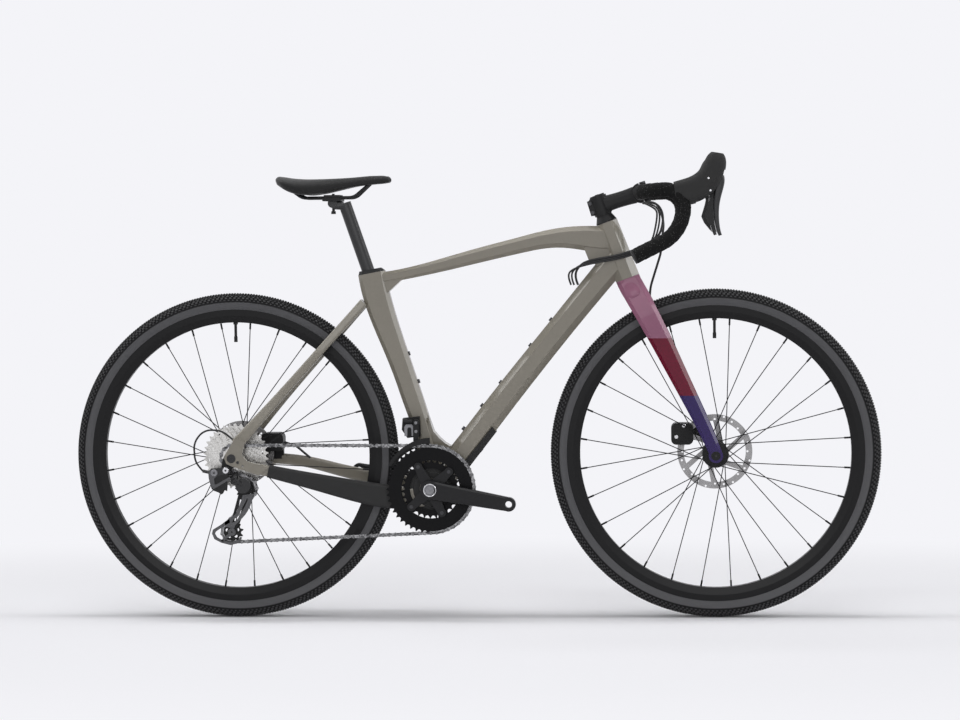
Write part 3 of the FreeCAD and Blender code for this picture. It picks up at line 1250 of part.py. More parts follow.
spider_parts = []
for angle in SPIDER:
    tip = on_wheel(BB, RING_BOLT_R, CRANK_AIM + angle, 0)
    across = on_wheel(Vector(0, 0, 0), 1, CRANK_AIM + angle + 90, 0)
    root = on_wheel(BB, 14, CRANK_AIM + angle, 0)
    outline = [root + across * 13, root - across * 13, tip - across * 8, tip + across * 8]
    spider_parts.append(plate([(p.x, p.z) for p in outline], SPIDER_OUT, SPIDER_FACE))
    spider_parts.append(rod(tip + LEFT * SPIDER_OUT, tip + LEFT * SPIDER_FACE, 9))
    lug = on_wheel(BB, SMALL_BOLT_R, CRANK_AIM + angle, 0)
    spider_parts.append(rod(lug + LEFT * SPIDER_OUT, lug + LEFT * (RING_Y["small"] - RING_THICK / 2), 6))
spindle = ring(BB - LEFT * 62, LEFT, 12, 9.5, 131)
spindle_seat = rod(BB - LEFT * 62, BB + LEFT * 80, 12)
crank_right = fused([crank_arm(CRANK_AIM, -1)] + spider_parts).cut(spindle_seat)
crank_bolts = []
for angle in SPIDER:
    big = on_wheel(BB, RING_BOLT_R, CRANK_AIM + angle, 0)
    small = on_wheel(BB, SMALL_BOLT_R, CRANK_AIM + angle, 0)
    big_bolt = fused([rod(big + LEFT * (SPIDER_OUT - 1), big + LEFT * (RING_Y["big"] + 1), 4),
                      rod(big + LEFT * (RING_Y["big"] + 1), big + LEFT * (RING_Y["big"] + 2.4), 5.5)])
    small_bolt = fused([rod(small + LEFT * (RING_Y["small"] - 5), small + LEFT * (RING_Y["small"] + 1), 4),
                        rod(small + LEFT * (RING_Y["small"] + 1), small + LEFT * (RING_Y["small"] + 2.4), 5)])
    crank_bolts += [big_bolt, small_bolt]
for bolt in crank_bolts:
    crank_right = crank_right.cut(bolt)
crank_right = max(crank_right.Solids, key=lambda solid: solid.Volume)
shaped("crank_right", Part.makeCompound([crank_right, spindle]))
shaped("chainring_bolts", Part.makeCompound(crank_bolts))
crank_left = crank_arm(CRANK_AIM + 180, 1).cut(rod(BB - LEFT * 90, BB + LEFT * 90, 12))
end_cap = rod(BB + LEFT * 69, BB + LEFT * 72, 15)
shaped("crank_left", fused([crank_left, end_cap]))

# Cassette on its freehub body

COG_THICK = 1.6
HUB_BODY_R = 17.2
cogs = []
for i, teeth in enumerate(COGS):
    y = SMALL_COG_Y + i * value("cog_pitch")
    phase = tooth_phase(REAR_AXLE, pitch_radius(COGS[CHAIN_COG])) if i == CHAIN_COG else 0.13 * i
    cog = sprocket(teeth, REAR_AXLE, y, COG_THICK, phase)
    cog = cog.cut(rod(REAR_AXLE + LEFT * (y - 4), REAR_AXLE + LEFT * (y + 4), HUB_BODY_R))
    solid_radius = pitch_radius(teeth) - 9
    window = (solid_radius - 23) / 2
    if window > 3:
        for turn in range(6):
            hole = on_wheel(REAR_AXLE, 23 + window, turn * 60 + 7 * i, y - 2)
            cog = cog.cut(Part.makeCylinder(window, 4, hole, LEFT))
    if i in (CHAIN_COG, CHAIN_COG + 1):
        cog = clear_of_chain(cog, REAR_AXLE, pitch_radius(teeth) + 14)
    cogs.append(cog)
    if i:
        cogs.append(ring(REAR_AXLE + LEFT * (y - value("cog_pitch") + COG_THICK / 2), LEFT, 20, HUB_BODY_R,
                         value("cog_pitch") - COG_THICK))
lock_ring = ring(REAR_AXLE + LEFT * (SMALL_COG_Y - COG_THICK / 2 - 1.4), LEFT, 16.5, 10.5, 1.4)
freehub_shell = ring(REAR_AXLE + LEFT * (SMALL_COG_Y - COG_THICK / 2), LEFT, HUB_BODY_R, 9, 38.9)
freehub_races = [ring(REAR_AXLE + LEFT * y, LEFT, 9, value("axle_diameter / 2") + FIT, 6)
                 for y in (-59.5, -28)]
shaped("cassette", Part.makeCompound(cogs + [lock_ring, freehub_shell] + freehub_races))

# Rear derailleur: mount knuckle, two links, cage knuckle, cage and pulleys

LINK_REACH = 51.4
LINK_HALF_SWING = 28.0
LINK_MIDDLE = Vector(0.894, 0, -0.447).normalize()
LINK_TRAVEL = Vector(-0.32, 0.6985, -0.64).normalize()
LINK_AXIS = LINK_MIDDLE.cross(LINK_TRAVEL).normalize()
swing = math.radians(LINK_HALF_SWING)
LINK_REST = LINK_MIDDLE * (LINK_REACH * math.cos(swing)) - LINK_TRAVEL * (LINK_REACH * math.sin(swing))
MOUNT_PIVOT = REAR_AXLE + Vector(-40, -55, -31)
CAGE_PIVOT_END = MOUNT_PIVOT + LINK_REST
LINK_STEP = LINK_TRAVEL * 14.0
KNUCKLE = GUIDE + Vector(-4, 0, 7)
PIVOT_R = 2.0
CAGE_OUT = CHAIN_Y - 5.6
CAGE_IN = CHAIN_Y + 3.6
CAGE_THICK = 1.2


def lug_with_pin(pivot):
    """A lug beside a link's eye with the pin that the eye turns on."""
    lug = rod(pivot - LINK_AXIS * 5, pivot - LINK_AXIS * 12, 5.5)
    return lug.fuse(rod(pivot - LINK_AXIS * 6, pivot + LINK_AXIS * 5, PIVOT_R))


def derailleur_link(start):
    """A link with an eye at each end."""
    end = start + LINK_REST
    eyes = [rod(p - LINK_AXIS * 4.5, p + LINK_AXIS * 4.5, 5.2) for p in (start, end)]
    link = fused([rod(start, end, 3.6)] + eyes)
    for p in (start, end):
        link = link.cut(rod(p - LINK_AXIS * 8, p + LINK_AXIS * 8, PIVOT_R + FIT))
    return link


shaped("rd_outer_link", derailleur_link(MOUNT_PIVOT))
shaped("rd_inner_link", derailleur_link(MOUNT_PIVOT + LINK_STEP))

# The hanger's lower corner leaves room for the outer link over its whole swing
LINK_ROOM = 0.4
passing_link = fused([rod(MOUNT_PIVOT, CAGE_PIVOT_END, 3.6 + LINK_ROOM),
                      rod(CAGE_PIVOT_END - LINK_AXIS * 5, CAGE_PIVOT_END + LINK_AXIS * 5, 5.2 + LINK_ROOM)])
hanger = PIECES["derailleur_hanger"].Shape
for angle in range(-8, 14, 2):
    link_room = passing_link.copy()
    link_room.rotate(MOUNT_PIVOT, LINK_AXIS, angle)
    hanger = hanger.cut(link_room)
PIECES["derailleur_hanger"].Shape = max(hanger.Solids, key=lambda solid: solid.Volume)

MOUNT_Y = (-80.5, -75)
arm_end = at(MOUNT_PIVOT.x, MOUNT_PIVOT.z)
hanger_disc = rod(HANGER_BOLT + LEFT * MOUNT_Y[0], HANGER_BOLT + LEFT * MOUNT_Y[1], 9)
hanger_screw = rod(HANGER_BOLT - LEFT * 83, HANGER_BOLT - LEFT * 71, 4)
arm_disc = rod(arm_end + LEFT * MOUNT_Y[0], arm_end + LEFT * MOUNT_Y[1], 8)
arm_run = (arm_end - HANGER_BOLT).normalize()
arm_side = Vector(-arm_run.z, 0, arm_run.x)
arm_outline = [HANGER_BOLT + arm_side * 8, HANGER_BOLT - arm_side * 8,
               arm_end - arm_side * 7, arm_end + arm_side * 7]
arm_plate = plate([(p.x, p.z) for p in arm_outline], *MOUNT_Y)
CABLE_STOP = REAR_AXLE + Vector(-62, -78, -26)
cable_barrel = rod(arm_end + LEFT * -78, CABLE_STOP, 3.4)
outer_lug = MOUNT_PIVOT - LINK_AXIS * 11
inner_lug = MOUNT_PIVOT + LINK_STEP - LINK_AXIS * 11
mount_parts = [hanger_disc, hanger_screw, arm_disc, arm_plate, cable_barrel, lug_with_pin(MOUNT_PIVOT),
               lug_with_pin(MOUNT_PIVOT + LINK_STEP),
               rod(outer_lug, arm_end + LEFT * -77, 5), rod(inner_lug, arm_end + LEFT * -72, 4.2)]
shaped("rd_mount", fused(mount_parts))

knuckle_low = CAGE_OUT - 14
knuckle_drum = rod(KNUCKLE + LEFT * knuckle_low, KNUCKLE + LEFT * (CAGE_OUT - 0.6), 16)
outer_end = CAGE_PIVOT_END - LINK_AXIS * 11
inner_end = CAGE_PIVOT_END + LINK_STEP - LINK_AXIS * 11
knuckle_parts = [knuckle_drum, lug_with_pin(CAGE_PIVOT_END), lug_with_pin(CAGE_PIVOT_END + LINK_STEP),
                 rod(outer_end, KNUCKLE + LEFT * (knuckle_low + 5), 5),
                 rod(inner_end, KNUCKLE + LEFT * (knuckle_low + 7), 4.6)]
knuckle_bore = rod(KNUCKLE + LEFT * (knuckle_low + 4), KNUCKLE + LEFT * CAGE_OUT, 4 + FIT)
cage_knuckle = fused(knuckle_parts).cut(knuckle_bore)
shaped("rd_cage_knuckle", cage_knuckle)


def cage_plate(y):
    """A long cage plate between the two pulleys with a window in its middle."""
    low, high = y, y + CAGE_THICK
    run = (TENSION - GUIDE).normalize()
    side = Vector(-run.z, 0, run.x)
    start = GUIDE + run * 6
    stop = TENSION - run * 4
    outline = [start + side * 12, start - side * 12, stop - side * 8, stop + side * 8]
    parts = [rod(GUIDE + LEFT * low, GUIDE + LEFT * high, 14.5),
             rod(TENSION + LEFT * low, TENSION + LEFT * high, 11),
             plate([(p.x, p.z) for p in outline], low, high)]
    window = [GUIDE + run * 26 + side * 6, GUIDE + run * 26 - side * 6, TENSION - run * 22 - side * 4,
              TENSION - run * 22 + side * 4]
    return fused(parts).cut(plate([(p.x, p.z) for p in window], low, high))


cage_pin = rod(KNUCKLE + LEFT * (knuckle_low + 5), KNUCKLE + LEFT * (CAGE_OUT + 0.5), 4)
pulley_bolts = [rod(p + LEFT * CAGE_OUT, p + LEFT * (CAGE_IN + CAGE_THICK), 2.5) for p in (GUIDE, TENSION)]
shaped("rd_cage", fused([cage_plate(CAGE_OUT), cage_plate(CAGE_IN), cage_pin] + pulley_bolts))

PULLEY_THICK = 1.9
for name, centre in (("guide_pulley", GUIDE), ("tension_pulley", TENSION)):
    phase = tooth_phase(centre, pitch_radius(value("pulley_teeth")))
    pulley = sprocket(value("pulley_teeth"), centre, CHAIN_Y, PULLEY_THICK, phase, 1.6, 0.6)
    hub = rod(centre + LEFT * (CHAIN_Y - 3.4), centre + LEFT * (CHAIN_Y + 3.4), 6)
    bearing = rod(centre + LEFT * (CHAIN_Y - 9), centre + LEFT * (CHAIN_Y + 9), 2.5 + FIT)
    pulley = fused([pulley, hub]).cut(bearing)
    for turn in range(5):
        hole = on_wheel(centre, 12, turn * 72 + 20, CHAIN_Y - 4)
        pulley = pulley.cut(Part.makeCylinder(3.4, 8, hole, LEFT))
    shaped(name, pulley)

# Front derailleur: a body on the seat tube and a cage that swings beside the rings

FD_PIVOT = BB + Vector(-34, -38, 144)
ring_tip = pitch_radius(value("big_ring_teeth")) + 2.2
fd_block = plate(from_point(BB, [(-60, 150), (-24, 154), (-22, 112), (-50, 108), (-62, 126)]), -33, -10)
fd_tube = rod(FD_PIVOT + Vector(-24, 0, 0), FD_PIVOT + Vector(-4, 0, 0), 5)
fd_neck = block(FD_PIVOT + Vector(-24, 0, -6), FD_PIVOT + Vector(-4, 14, 4))
fd_body = fused([fd_block, fd_tube, fd_neck]).cut(frame_outside)
fd_body = fd_body.cut(rod(FD_PIVOT - Vector(60, 0, 0), FD_PIVOT, 2.5 + FIT))
shaped("fd_body", max(fd_body.Solids, key=lambda solid: solid.Volume))


def sector(inner, outer, start, stop, y_low, y_high):
    """Part of a ring around the bottom bracket, between two angles."""
    points = [on_wheel(BB, outer, start + (stop - start) * i / 12.0, 0) for i in range(13)]
    points += [on_wheel(BB, inner, stop - (stop - start) * i / 12.0, 0) for i in range(13)]
    return plate([(p.x, p.z) for p in points], y_low, y_high)


cage_outer = sector(ring_tip + 2.5, ring_tip + 17, 89, 150, -55.4, -54.2)
cage_inner = sector(ring_tip - 4, ring_tip + 17, 91, 150, -45.4, -44.2)
cage_roof = sector(ring_tip + 15.5, ring_tip + 17, 97, 112, -55.4, -44.2)
cage_tail = sector(ring_tip + 3, ring_tip + 12, 148.5, 150, -55.4, -44.2)
fd_arm = block(FD_PIVOT + Vector(-2.5, -9, -36), FD_PIVOT + Vector(10, -3, 5))
fd_arm_top = block(FD_PIVOT + Vector(-2.5, -9, -5), FD_PIVOT + Vector(10, 3.8, 5))
fd_pin = rod(FD_PIVOT + Vector(-23, 0, 0), FD_PIVOT + Vector(4, 0, 0), 2.5)
shaped("fd_cage", fused([cage_outer, cage_inner, cage_roof, cage_tail, fd_arm, fd_arm_top, fd_pin]))

# Disc brakes: calipers with their pads

REAR_CALIPER = (REAR_AXLE + Vector(45, ROTOR_Y["rear"] - 18, 4),
                REAR_AXLE + Vector(93, ROTOR_Y["rear"] + 18, 44))
FRONT_CALIPER = (FRONT_AXLE + Vector(-93, ROTOR_Y["front"] - 17, 16),
                 FRONT_AXLE + Vector(-46, ROTOR_Y["front"] + 17, 62))
PAD_HALF = 5.4
PAD_GAP = 0.3


CALIPER_ROUND = 11


def make_caliper(corners, axle, kind, foot, carrier):
    """A caliper body around the rotor with two pads in its slot."""
    low, high = corners
    y = ROTOR_Y[kind]
    radius = value(ROTOR_SIZE[kind])
    body = block(low, high)
    across = [edge for edge in body.Edges if abs(edge.tangentAt(edge.FirstParameter).y) > 0.9]
    body = body.makeFillet(CALIPER_ROUND, across)
    body = fused([body, foot])
    slot = rod(axle + LEFT * (y - PAD_HALF), axle + LEFT * (y + PAD_HALF), radius + 3)
    body = body.cut(slot).cut(carrier)
    body = max(body.Solids, key=lambda solid: solid.Volume)
    middle = (low + high) * 0.5
    near = value("rotor_thickness / 2") + PAD_GAP
    pad_low = Vector(middle.x - 15, 0, middle.z - 15)
    pads = []
    track = rod(axle - LEFT * 100, axle + LEFT * 100, radius - 1)
    hub_side = rod(axle - LEFT * 100, axle + LEFT * 100, radius - 15)
    for side in (-1, 1):
        ends = sorted((y + side * near, y + side * PAD_HALF))
        pad = block(pad_low + LEFT * ends[0], pad_low + Vector(30, ends[1], 30))
        pads.append(pad.common(track).cut(hub_side))
    return Part.makeCompound([body] + pads)


rear_foot = block(REAR_AXLE + Vector(50, 60, -14), REAR_AXLE + Vector(90, 71, 12))
shaped("rear_caliper", make_caliper(REAR_CALIPER, REAR_AXLE, "rear", rear_foot,
                                    chainstays[1].fuse(seatstays[1])))
front_foot = block(FRONT_AXLE + Vector(-60, 46, 24), FRONT_AXLE + Vector(-20, 57, 56))
shaped("front_caliper", make_caliper(FRONT_CALIPER, FRONT_AXLE, "front", front_foot, fork))

# Hoses and housings

hose_r = value("hose_diameter / 2")
housing_r = value("housing_diameter / 2")
PORT = BB + down_run * 532 - down_under * (value("down_tube_depth") * 0.5)
HOSE_WIDE = 60.0


def bar_to_frame(start_y, step, port_y, thick):
    """A hose from under the bar, in a loop ahead of the head tube and past its right side to the port."""
    right = -1
    corners = [
        at(bar_x + 3, bar_z - 19 - thick, start_y),
        at(bar_x + 30, bar_z - 16 - step, start_y * 0.6),
        at(bar_x + 50 - step, bar_z - 50, -14 - step * 0.3),
        at(bar_x + 34 - step, bar_z - 104 - step, -24),
        at(HEAD_TOP.x + 26, HEAD_TOP.z - 70 - step, right * 33.5),
        at(HEAD_TOP.x - 30, HEAD_TOP.z - 78 - step, right * 33.5),
        at(PORT.x + 6 - step, PORT.z + 46 - step, right * 22),
        at(PORT.x - 9 - step, PORT.z + 22, port_y),
        at(PORT.x - step, PORT.z + 1.5, port_y),
    ]
    return pipe(corners, HOSE_WIDE, thick).cut(frame_outside)


hoses = [bar_to_frame(-36, 0, -4, hose_r), bar_to_frame(-43, 8, -10.5, housing_r),
         bar_to_frame(-50, 15, 2.5, housing_r)]
shaped("steering_hoses", Part.makeCompound([max(h.Solids, key=lambda solid: solid.Volume) for h in hoses]))

front_hose_corners = [
    at(bar_x + 3, bar_z - 21.5, 36), at(bar_x + 32, bar_z - 18, 30), at(bar_x + 48, bar_z - 60, 26),
    at(bar_x + 40, bar_z - 130, 34), at(crown_top.x + 48, crown_top.z - 20, 48),
    at(crown_top.x + 44, crown_top.z - 76, 42),
]
front_hose = pipe(front_hose_corners, HOSE_WIDE, hose_r).cut(fork)
shaped("front_brake_hose", max(front_hose.Solids, key=lambda solid: solid.Volume))

shift_corners = [
    REAR_AXLE + Vector(10, -71.5, 34), REAR_AXLE + Vector(-20, -76, 60), REAR_AXLE + Vector(-58, -79, 62),
    REAR_AXLE + Vector(-80, -80, 34), REAR_AXLE + Vector(-78, -79, -6), CABLE_STOP,
]
shift_housing = pipe(shift_corners, 40, housing_r)
brake_corners = [
    REAR_AXLE + Vector(93, 62, 22), REAR_AXLE + Vector(118, 60, 14), REAR_AXLE + Vector(150, 54, -12),
]
brake_hose = pipe(brake_corners, 40, hose_r)
rear_solids = []
shift_neighbours = [seatstays[0], chainstays[0], PIECES["rd_mount"].Shape]
brake_neighbours = [chainstays[1], PIECES["rear_caliper"].Shape]
for hose, others in ((shift_housing, shift_neighbours), (brake_hose, brake_neighbours)):
    for other in others:
        hose = hose.cut(other)
    rear_solids.append(max(hose.Solids, key=lambda solid: solid.Volume))
shaped("rear_shift_housing", Part.makeCompound(rear_solids))

# Every piece is checked, then written as its own file

doc.recompute()
for item in doc.Objects:
    if "Invalid" in item.State or "Error" in item.State:
        raise RuntimeError(f"{item.Name} did not build: {item.State}")
os.makedirs("parts", exist_ok=True)
broken = [name for name, piece in PIECES.items()
          if piece.Shape.isNull() or not piece.Shape.isValid() or not piece.Shape.Solids]
if broken:
    raise RuntimeError("no valid solid in " + ", ".join(broken))
for name, piece in PIECES.items():
    piece.Shape.exportStep(os.path.join("parts", name + ".step"))
print(len(PIECES), "pieces,", LINKS, "chain links, cage at", round(cage_degrees, 2), "degrees")
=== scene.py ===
# %% [markdown]
# A gravel bike, dressed around its CAD frame.
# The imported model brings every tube, wheel and joint at its real size, in metres, with X forward,
# Y to the rider's left, Z up and the ground at zero. This lesson adds paint, rubber, metal, light and
# a camera. Hard parts keep their CAD shape and get a finish. Soft parts, such as the saddle, the bar
# tape, the tyres' tread and the loose hoses, are built again here with the detail that shows.

# %% Load the frame
import json
import math
import bpy
import numpy as np
from mathutils import Matrix, Vector


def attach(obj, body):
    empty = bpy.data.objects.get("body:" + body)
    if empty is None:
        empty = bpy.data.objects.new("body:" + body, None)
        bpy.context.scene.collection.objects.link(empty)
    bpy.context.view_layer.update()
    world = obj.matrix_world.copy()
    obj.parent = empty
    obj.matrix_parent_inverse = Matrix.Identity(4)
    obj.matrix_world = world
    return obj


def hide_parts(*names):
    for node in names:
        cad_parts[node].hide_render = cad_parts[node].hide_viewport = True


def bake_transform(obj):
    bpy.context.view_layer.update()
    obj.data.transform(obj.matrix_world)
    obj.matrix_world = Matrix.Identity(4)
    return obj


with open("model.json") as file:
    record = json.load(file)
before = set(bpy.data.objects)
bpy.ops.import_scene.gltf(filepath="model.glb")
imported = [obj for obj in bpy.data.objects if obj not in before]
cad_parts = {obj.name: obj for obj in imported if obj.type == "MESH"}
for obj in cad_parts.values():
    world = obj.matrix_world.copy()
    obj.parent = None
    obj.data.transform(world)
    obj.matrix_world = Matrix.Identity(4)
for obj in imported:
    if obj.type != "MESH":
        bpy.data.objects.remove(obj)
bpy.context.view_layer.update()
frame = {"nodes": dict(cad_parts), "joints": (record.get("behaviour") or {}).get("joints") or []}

nodes = frame["nodes"]
pivot = {joint["name"]: Vector(joint["pos_m"]) for joint in frame["joints"] if "pos_m" in joint}
scene = bpy.context.scene

# %% [markdown]
# The camera stands about five metres to the right of the bike and a little ahead of its middle, as
# high as the top of the head tube, with a long lens. A long lens keeps both wheels round and the tubes
# parallel. Its place was worked out from the two tyre circles, so the render lines up with the photo.

# %% Camera
MM = 0.001
CAMERA_PLACE = Vector((0.4001, -4.9743, 0.8261))
CAMERA_YAW = 0.0775
CAMERA_PITCH = 0.0549
CAMERA_ROLL = -0.0117
LENS_MM = 87.66
SENSOR_MM = 36
MIDDLE = Vector((0, 0, 0.5))

ahead = Vector((-math.sin(CAMERA_YAW) * math.cos(CAMERA_PITCH),
                math.cos(CAMERA_YAW) * math.cos(CAMERA_PITCH), -math.sin(CAMERA_PITCH)))
level = Vector((math.cos(CAMERA_YAW), math.sin(CAMERA_YAW), 0))
upright = level.cross(ahead)
right_side = level * math.cos(CAMERA_ROLL) + upright * math.sin(CAMERA_ROLL)
top_side = upright * math.cos(CAMERA_ROLL) - level * math.sin(CAMERA_ROLL)
turn = Matrix((right_side, top_side, -ahead)).transposed().to_4x4()

camera_data = bpy.data.cameras.new("camera")
camera_data.lens = LENS_MM
camera_data.sensor_width = SENSOR_MM
camera = bpy.data.objects.new("camera", camera_data)
camera.matrix_world = Matrix.Translation(CAMERA_PLACE) @ turn
scene.collection.objects.link(camera)
scene.camera = camera
scene.view_settings.view_transform = "Standard"
print("camera", round((CAMERA_PLACE - MIDDLE).length, 2), "m from the bike")

# %% [markdown]
# Colours are written as sRGB hex values, as a paint chart gives them. Blender's shaders work in
# linear light, so one function turns the hex value into linear numbers. A second function adds one
# shader node with its settings and its links, which keeps every material below short.

# %% Colour and node helpers


def colour(code):
    """The linear colour of an sRGB hex value."""
    parts = [int(code[i:i + 2], 16) / 255 for i in (1, 3, 5)]
    linear = [p / 12.92 if p <= 0.04045 else ((p + 0.055) / 1.055) ** 2.4 for p in parts]
    return (*linear, 1.0)


def add(tree, kind, sockets=None, **settings):
    """One node. A socket gets a value, or a link written as (node, output)."""
    node = tree.nodes.new(kind)
    for name, setting in settings.items():
        setattr(node, name, setting)
    for name, given in (sockets or {}).items():
        if isinstance(given, tuple) and isinstance(given[0], bpy.types.Node):
            tree.links.new(given[0].outputs[given[1]], node.inputs[name])
        else:
            node.inputs[name].default_value = given
    return node


print("paint grey in linear light", [round(c, 3) for c in colour("#808080")[:3]])

# %% [markdown]
# The stage is a pale floor under a pale sky, as in a product studio. The floor is plain and diffuse
# near the bike, so it takes the bike's shadow, and fades into the backdrop's own colour further out,
# so no horizon shows. The sky lights softly. Camera and mirror rays see sky and far floor in the
# backdrop's colour, so the backdrop is nearly white and glossy parts have something white to reflect.
# All other rays meet the plain floor and the soft sky, so the backdrop adds no light to the bike.

# %% Floor and sky
BACKDROP = "#f4f4f8"
FLOOR_TONE = "#ececf0"
SKY_GLOW = 0.27
FLOOR_HALF = 60.0
# The floor fades between these distances in metres, in an oval that is longer along the bike
FADE_START = 0.30
FADE_END = 1.35
FADE_SHAPE = (0.45, 1.0, 1.0)


def seen_rays(tree):
    """One for rays from the camera, from mirrors and through glass, and zero for the rest."""
    rays = add(tree, "ShaderNodeLightPath")
    most = add(tree, "ShaderNodeMath", {0: (rays, "Is Camera Ray"), 1: (rays, "Is Glossy Ray")},
               operation="MAXIMUM")
    return add(tree, "ShaderNodeMath", {0: (most, "Value"), 1: (rays, "Is Transmission Ray")},
               operation="MAXIMUM")


floor_mesh = bpy.data.meshes.new("floor")
corners = [(x * FLOOR_HALF, y * FLOOR_HALF, 0) for x, y in ((-1, -1), (1, -1), (1, 1), (-1, 1))]
floor_mesh.from_pydata(corners, [], [(0, 1, 2, 3)])
floor = bpy.data.objects.new("floor", floor_mesh)
scene.collection.objects.link(floor)
floor_paint = bpy.data.materials.new("studio_floor_paint")
floor_paint.use_nodes = True
floor_tree = floor_paint.node_tree
floor_tree.nodes.clear()
spot = add(floor_tree, "ShaderNodeTexCoord")
oval = add(floor_tree, "ShaderNodeVectorMath", {0: (spot, "Object"), 1: FADE_SHAPE}, operation="MULTIPLY")
away = add(floor_tree, "ShaderNodeVectorMath", {0: (oval, "Vector")}, operation="LENGTH")
fade = add(floor_tree, "ShaderNodeMapRange", {"Value": (away, "Value"), "From Min": FADE_START,
                                              "From Max": FADE_END}, interpolation_type="SMOOTHSTEP")
near = add(floor_tree, "ShaderNodeBsdfDiffuse", {"Color": colour(FLOOR_TONE)})
far = add(floor_tree, "ShaderNodeEmission", {"Color": colour(BACKDROP), "Strength": 1.0})
share = add(floor_tree, "ShaderNodeMath", {0: (fade, "Result"), 1: (seen_rays(floor_tree), "Value")},
            operation="MULTIPLY")
blended = add(floor_tree, "ShaderNodeMixShader", {0: (share, "Value"), 1: (near, 0), 2: (far, 0)})
add(floor_tree, "ShaderNodeOutputMaterial", {"Surface": (blended, 0)})
floor_mesh.materials.append(floor_paint)

world = bpy.data.worlds.new("studio_sky")
world.use_nodes = True
scene.world = world
sky = world.node_tree
sky.nodes.clear()
glow = add(sky, "ShaderNodeBackground", {"Color": colour("#ffffff"), "Strength": SKY_GLOW})
shown = add(sky, "ShaderNodeBackground", {"Color": colour(BACKDROP), "Strength": 1.0})
both = add(sky, "ShaderNodeMixShader", {0: (seen_rays(sky), "Value"), 1: (glow, 0), 2: (shown, 0)})
add(sky, "ShaderNodeOutputWorld", {"Surface": (both, 0)})
print("floor and sky are in place")

# %% [markdown]
# A long softbox straight above the bike lights its top edges and puts a soft dark band on the floor
# under it. Mirror rays don't see it, because it would draw a white streak along the top tube. A wide
# sun from high up and a large softbox beside the camera fill in the side that the photo shows. The
# tubes have chamfered edges, and each chamfer mirrors one part of the room: the down tube's looks up
# and back, the seat tube's and the fork's look forward. A softbox stands in each of those directions
# and draws pale lines along the tubes.

# %% Lights


def lamp(name, kind, place, **settings):
    """A lamp at a place, aimed at the middle of the bike."""
    data = bpy.data.lights.new(name, kind)
    for key, setting in settings.items():
        setattr(data, key, setting)
    made = bpy.data.objects.new(name, data)
    made.location = place
    made.rotation_euler = (MIDDLE - Vector(place)).to_track_quat("-Z", "Y").to_euler()
    scene.collection.objects.link(made)
    return made


SUN_PLACE = (0.2, -1.3, 5.0)
SUN_POWER = 0.4
SUN_SPREAD = math.radians(32)
# Each softbox: name, place in metres, power in watts, width and height in metres
LAMPS = [("softbox_above", (0.0, 0.0, 2.6), 30, 2.6, 0.30),
         ("softbox_side", (0.2, -3.2, 2.0), 30, 3.0, 2.0),
         ("softbox_tail", (-2.0, 0.0, 2.05), 13, 0.8, 1.4),
         ("softbox_nose", (2.3, 0.0, 1.5), 9, 0.7, 0.9)]
lamp("sun_soft", "SUN", SUN_PLACE, energy=SUN_POWER, angle=SUN_SPREAD)
for name, place, power, wide, tall in LAMPS:
    made = lamp(name, "AREA", place, energy=power, shape="RECTANGLE", size=wide, size_y=tall)
    made.visible_glossy = name != "softbox_above"
print(len(LAMPS) + 1, "lamps")

# %% [markdown]
# Most finishes on a bike are one tone that a fine grain breaks up: orange peel in lacquer, the bead
# blast under an anodised skin, the pores of moulded rubber. One function makes that kind of material
# from a grain size in millimetres. The grain moves the colour, the roughness and the surface a little.
# One pixel of this render is two millimetres wide, so grains finer than that are drawn coarser.

# %% A finish with a grain
GRAIN_DETAIL = 2.0
# Most of the noise lies between these two values, and the roughness follows it from one to the other
GRAIN_LOW = 0.3
GRAIN_HIGH = 0.7
BUMP_STRENGTH = 0.6


def finish(name, tone, second, grain, depth, roughness, spread=0.06, **sockets):
    """A material with a grain in millimetres that stands a depth in millimetres proud."""
    material = bpy.data.materials.new(name)
    material.use_nodes = True
    tree = material.node_tree
    shader = tree.nodes["Principled BSDF"]
    for key, setting in sockets.items():
        shader.inputs[key.replace("_", " ")].default_value = setting
    place = add(tree, "ShaderNodeTexCoord")
    specks = add(tree, "ShaderNodeTexNoise", {"Vector": (place, "Object"), "Scale": 1 / (grain * MM),
                                              "Detail": GRAIN_DETAIL})
    tint = add(tree, "ShaderNodeMix", {0: (specks, "Fac"), 6: colour(tone), 7: colour(second)},
               data_type="RGBA")
    rough = add(tree, "ShaderNodeMapRange", {"Value": (specks, "Fac"), "From Min": GRAIN_LOW,
                                             "From Max": GRAIN_HIGH, "To Min": roughness - spread,
                                             "To Max": roughness + spread})
    bump = add(tree, "ShaderNodeBump", {"Height": (specks, "Fac"), "Distance": depth * MM,
                                        "Strength": BUMP_STRENGTH})
    tree.links.new(tint.outputs[2], shader.inputs["Base Color"])
    tree.links.new(rough.outputs["Result"], shader.inputs["Roughness"])
    tree.links.new(bump.outputs["Normal"], shader.inputs["Normal"])
    return material


def dress(material, *names):
    """Gives CAD nodes a material in place of their own."""
    for name in names:
        nodes[name].data.materials.clear()
        nodes[name].data.materials.append(material)


print("finish and dress are ready")

# %% [markdown]
# The frame is moulded carbon composite under warm grey paint and a thick clear lacquer. The lacquer
# is the coat of the shader: sharp, colourless reflections over a softer paint. Orange peel of about
# six millimetres keeps the reflections from looking like glass.

# %% Frame paint
frame_paint = finish("lacquered_paint_warm_grey", "#827d72", "#888378", 6.0, 0.012, 0.36,
                     Specular_IOR_Level=0.2, Coat_Weight=0.7, Coat_Roughness=0.07, Coat_IOR=1.5)
dress(frame_paint, "main_frame", "seatstays", "chainstays")
print("painted", frame_paint.name)

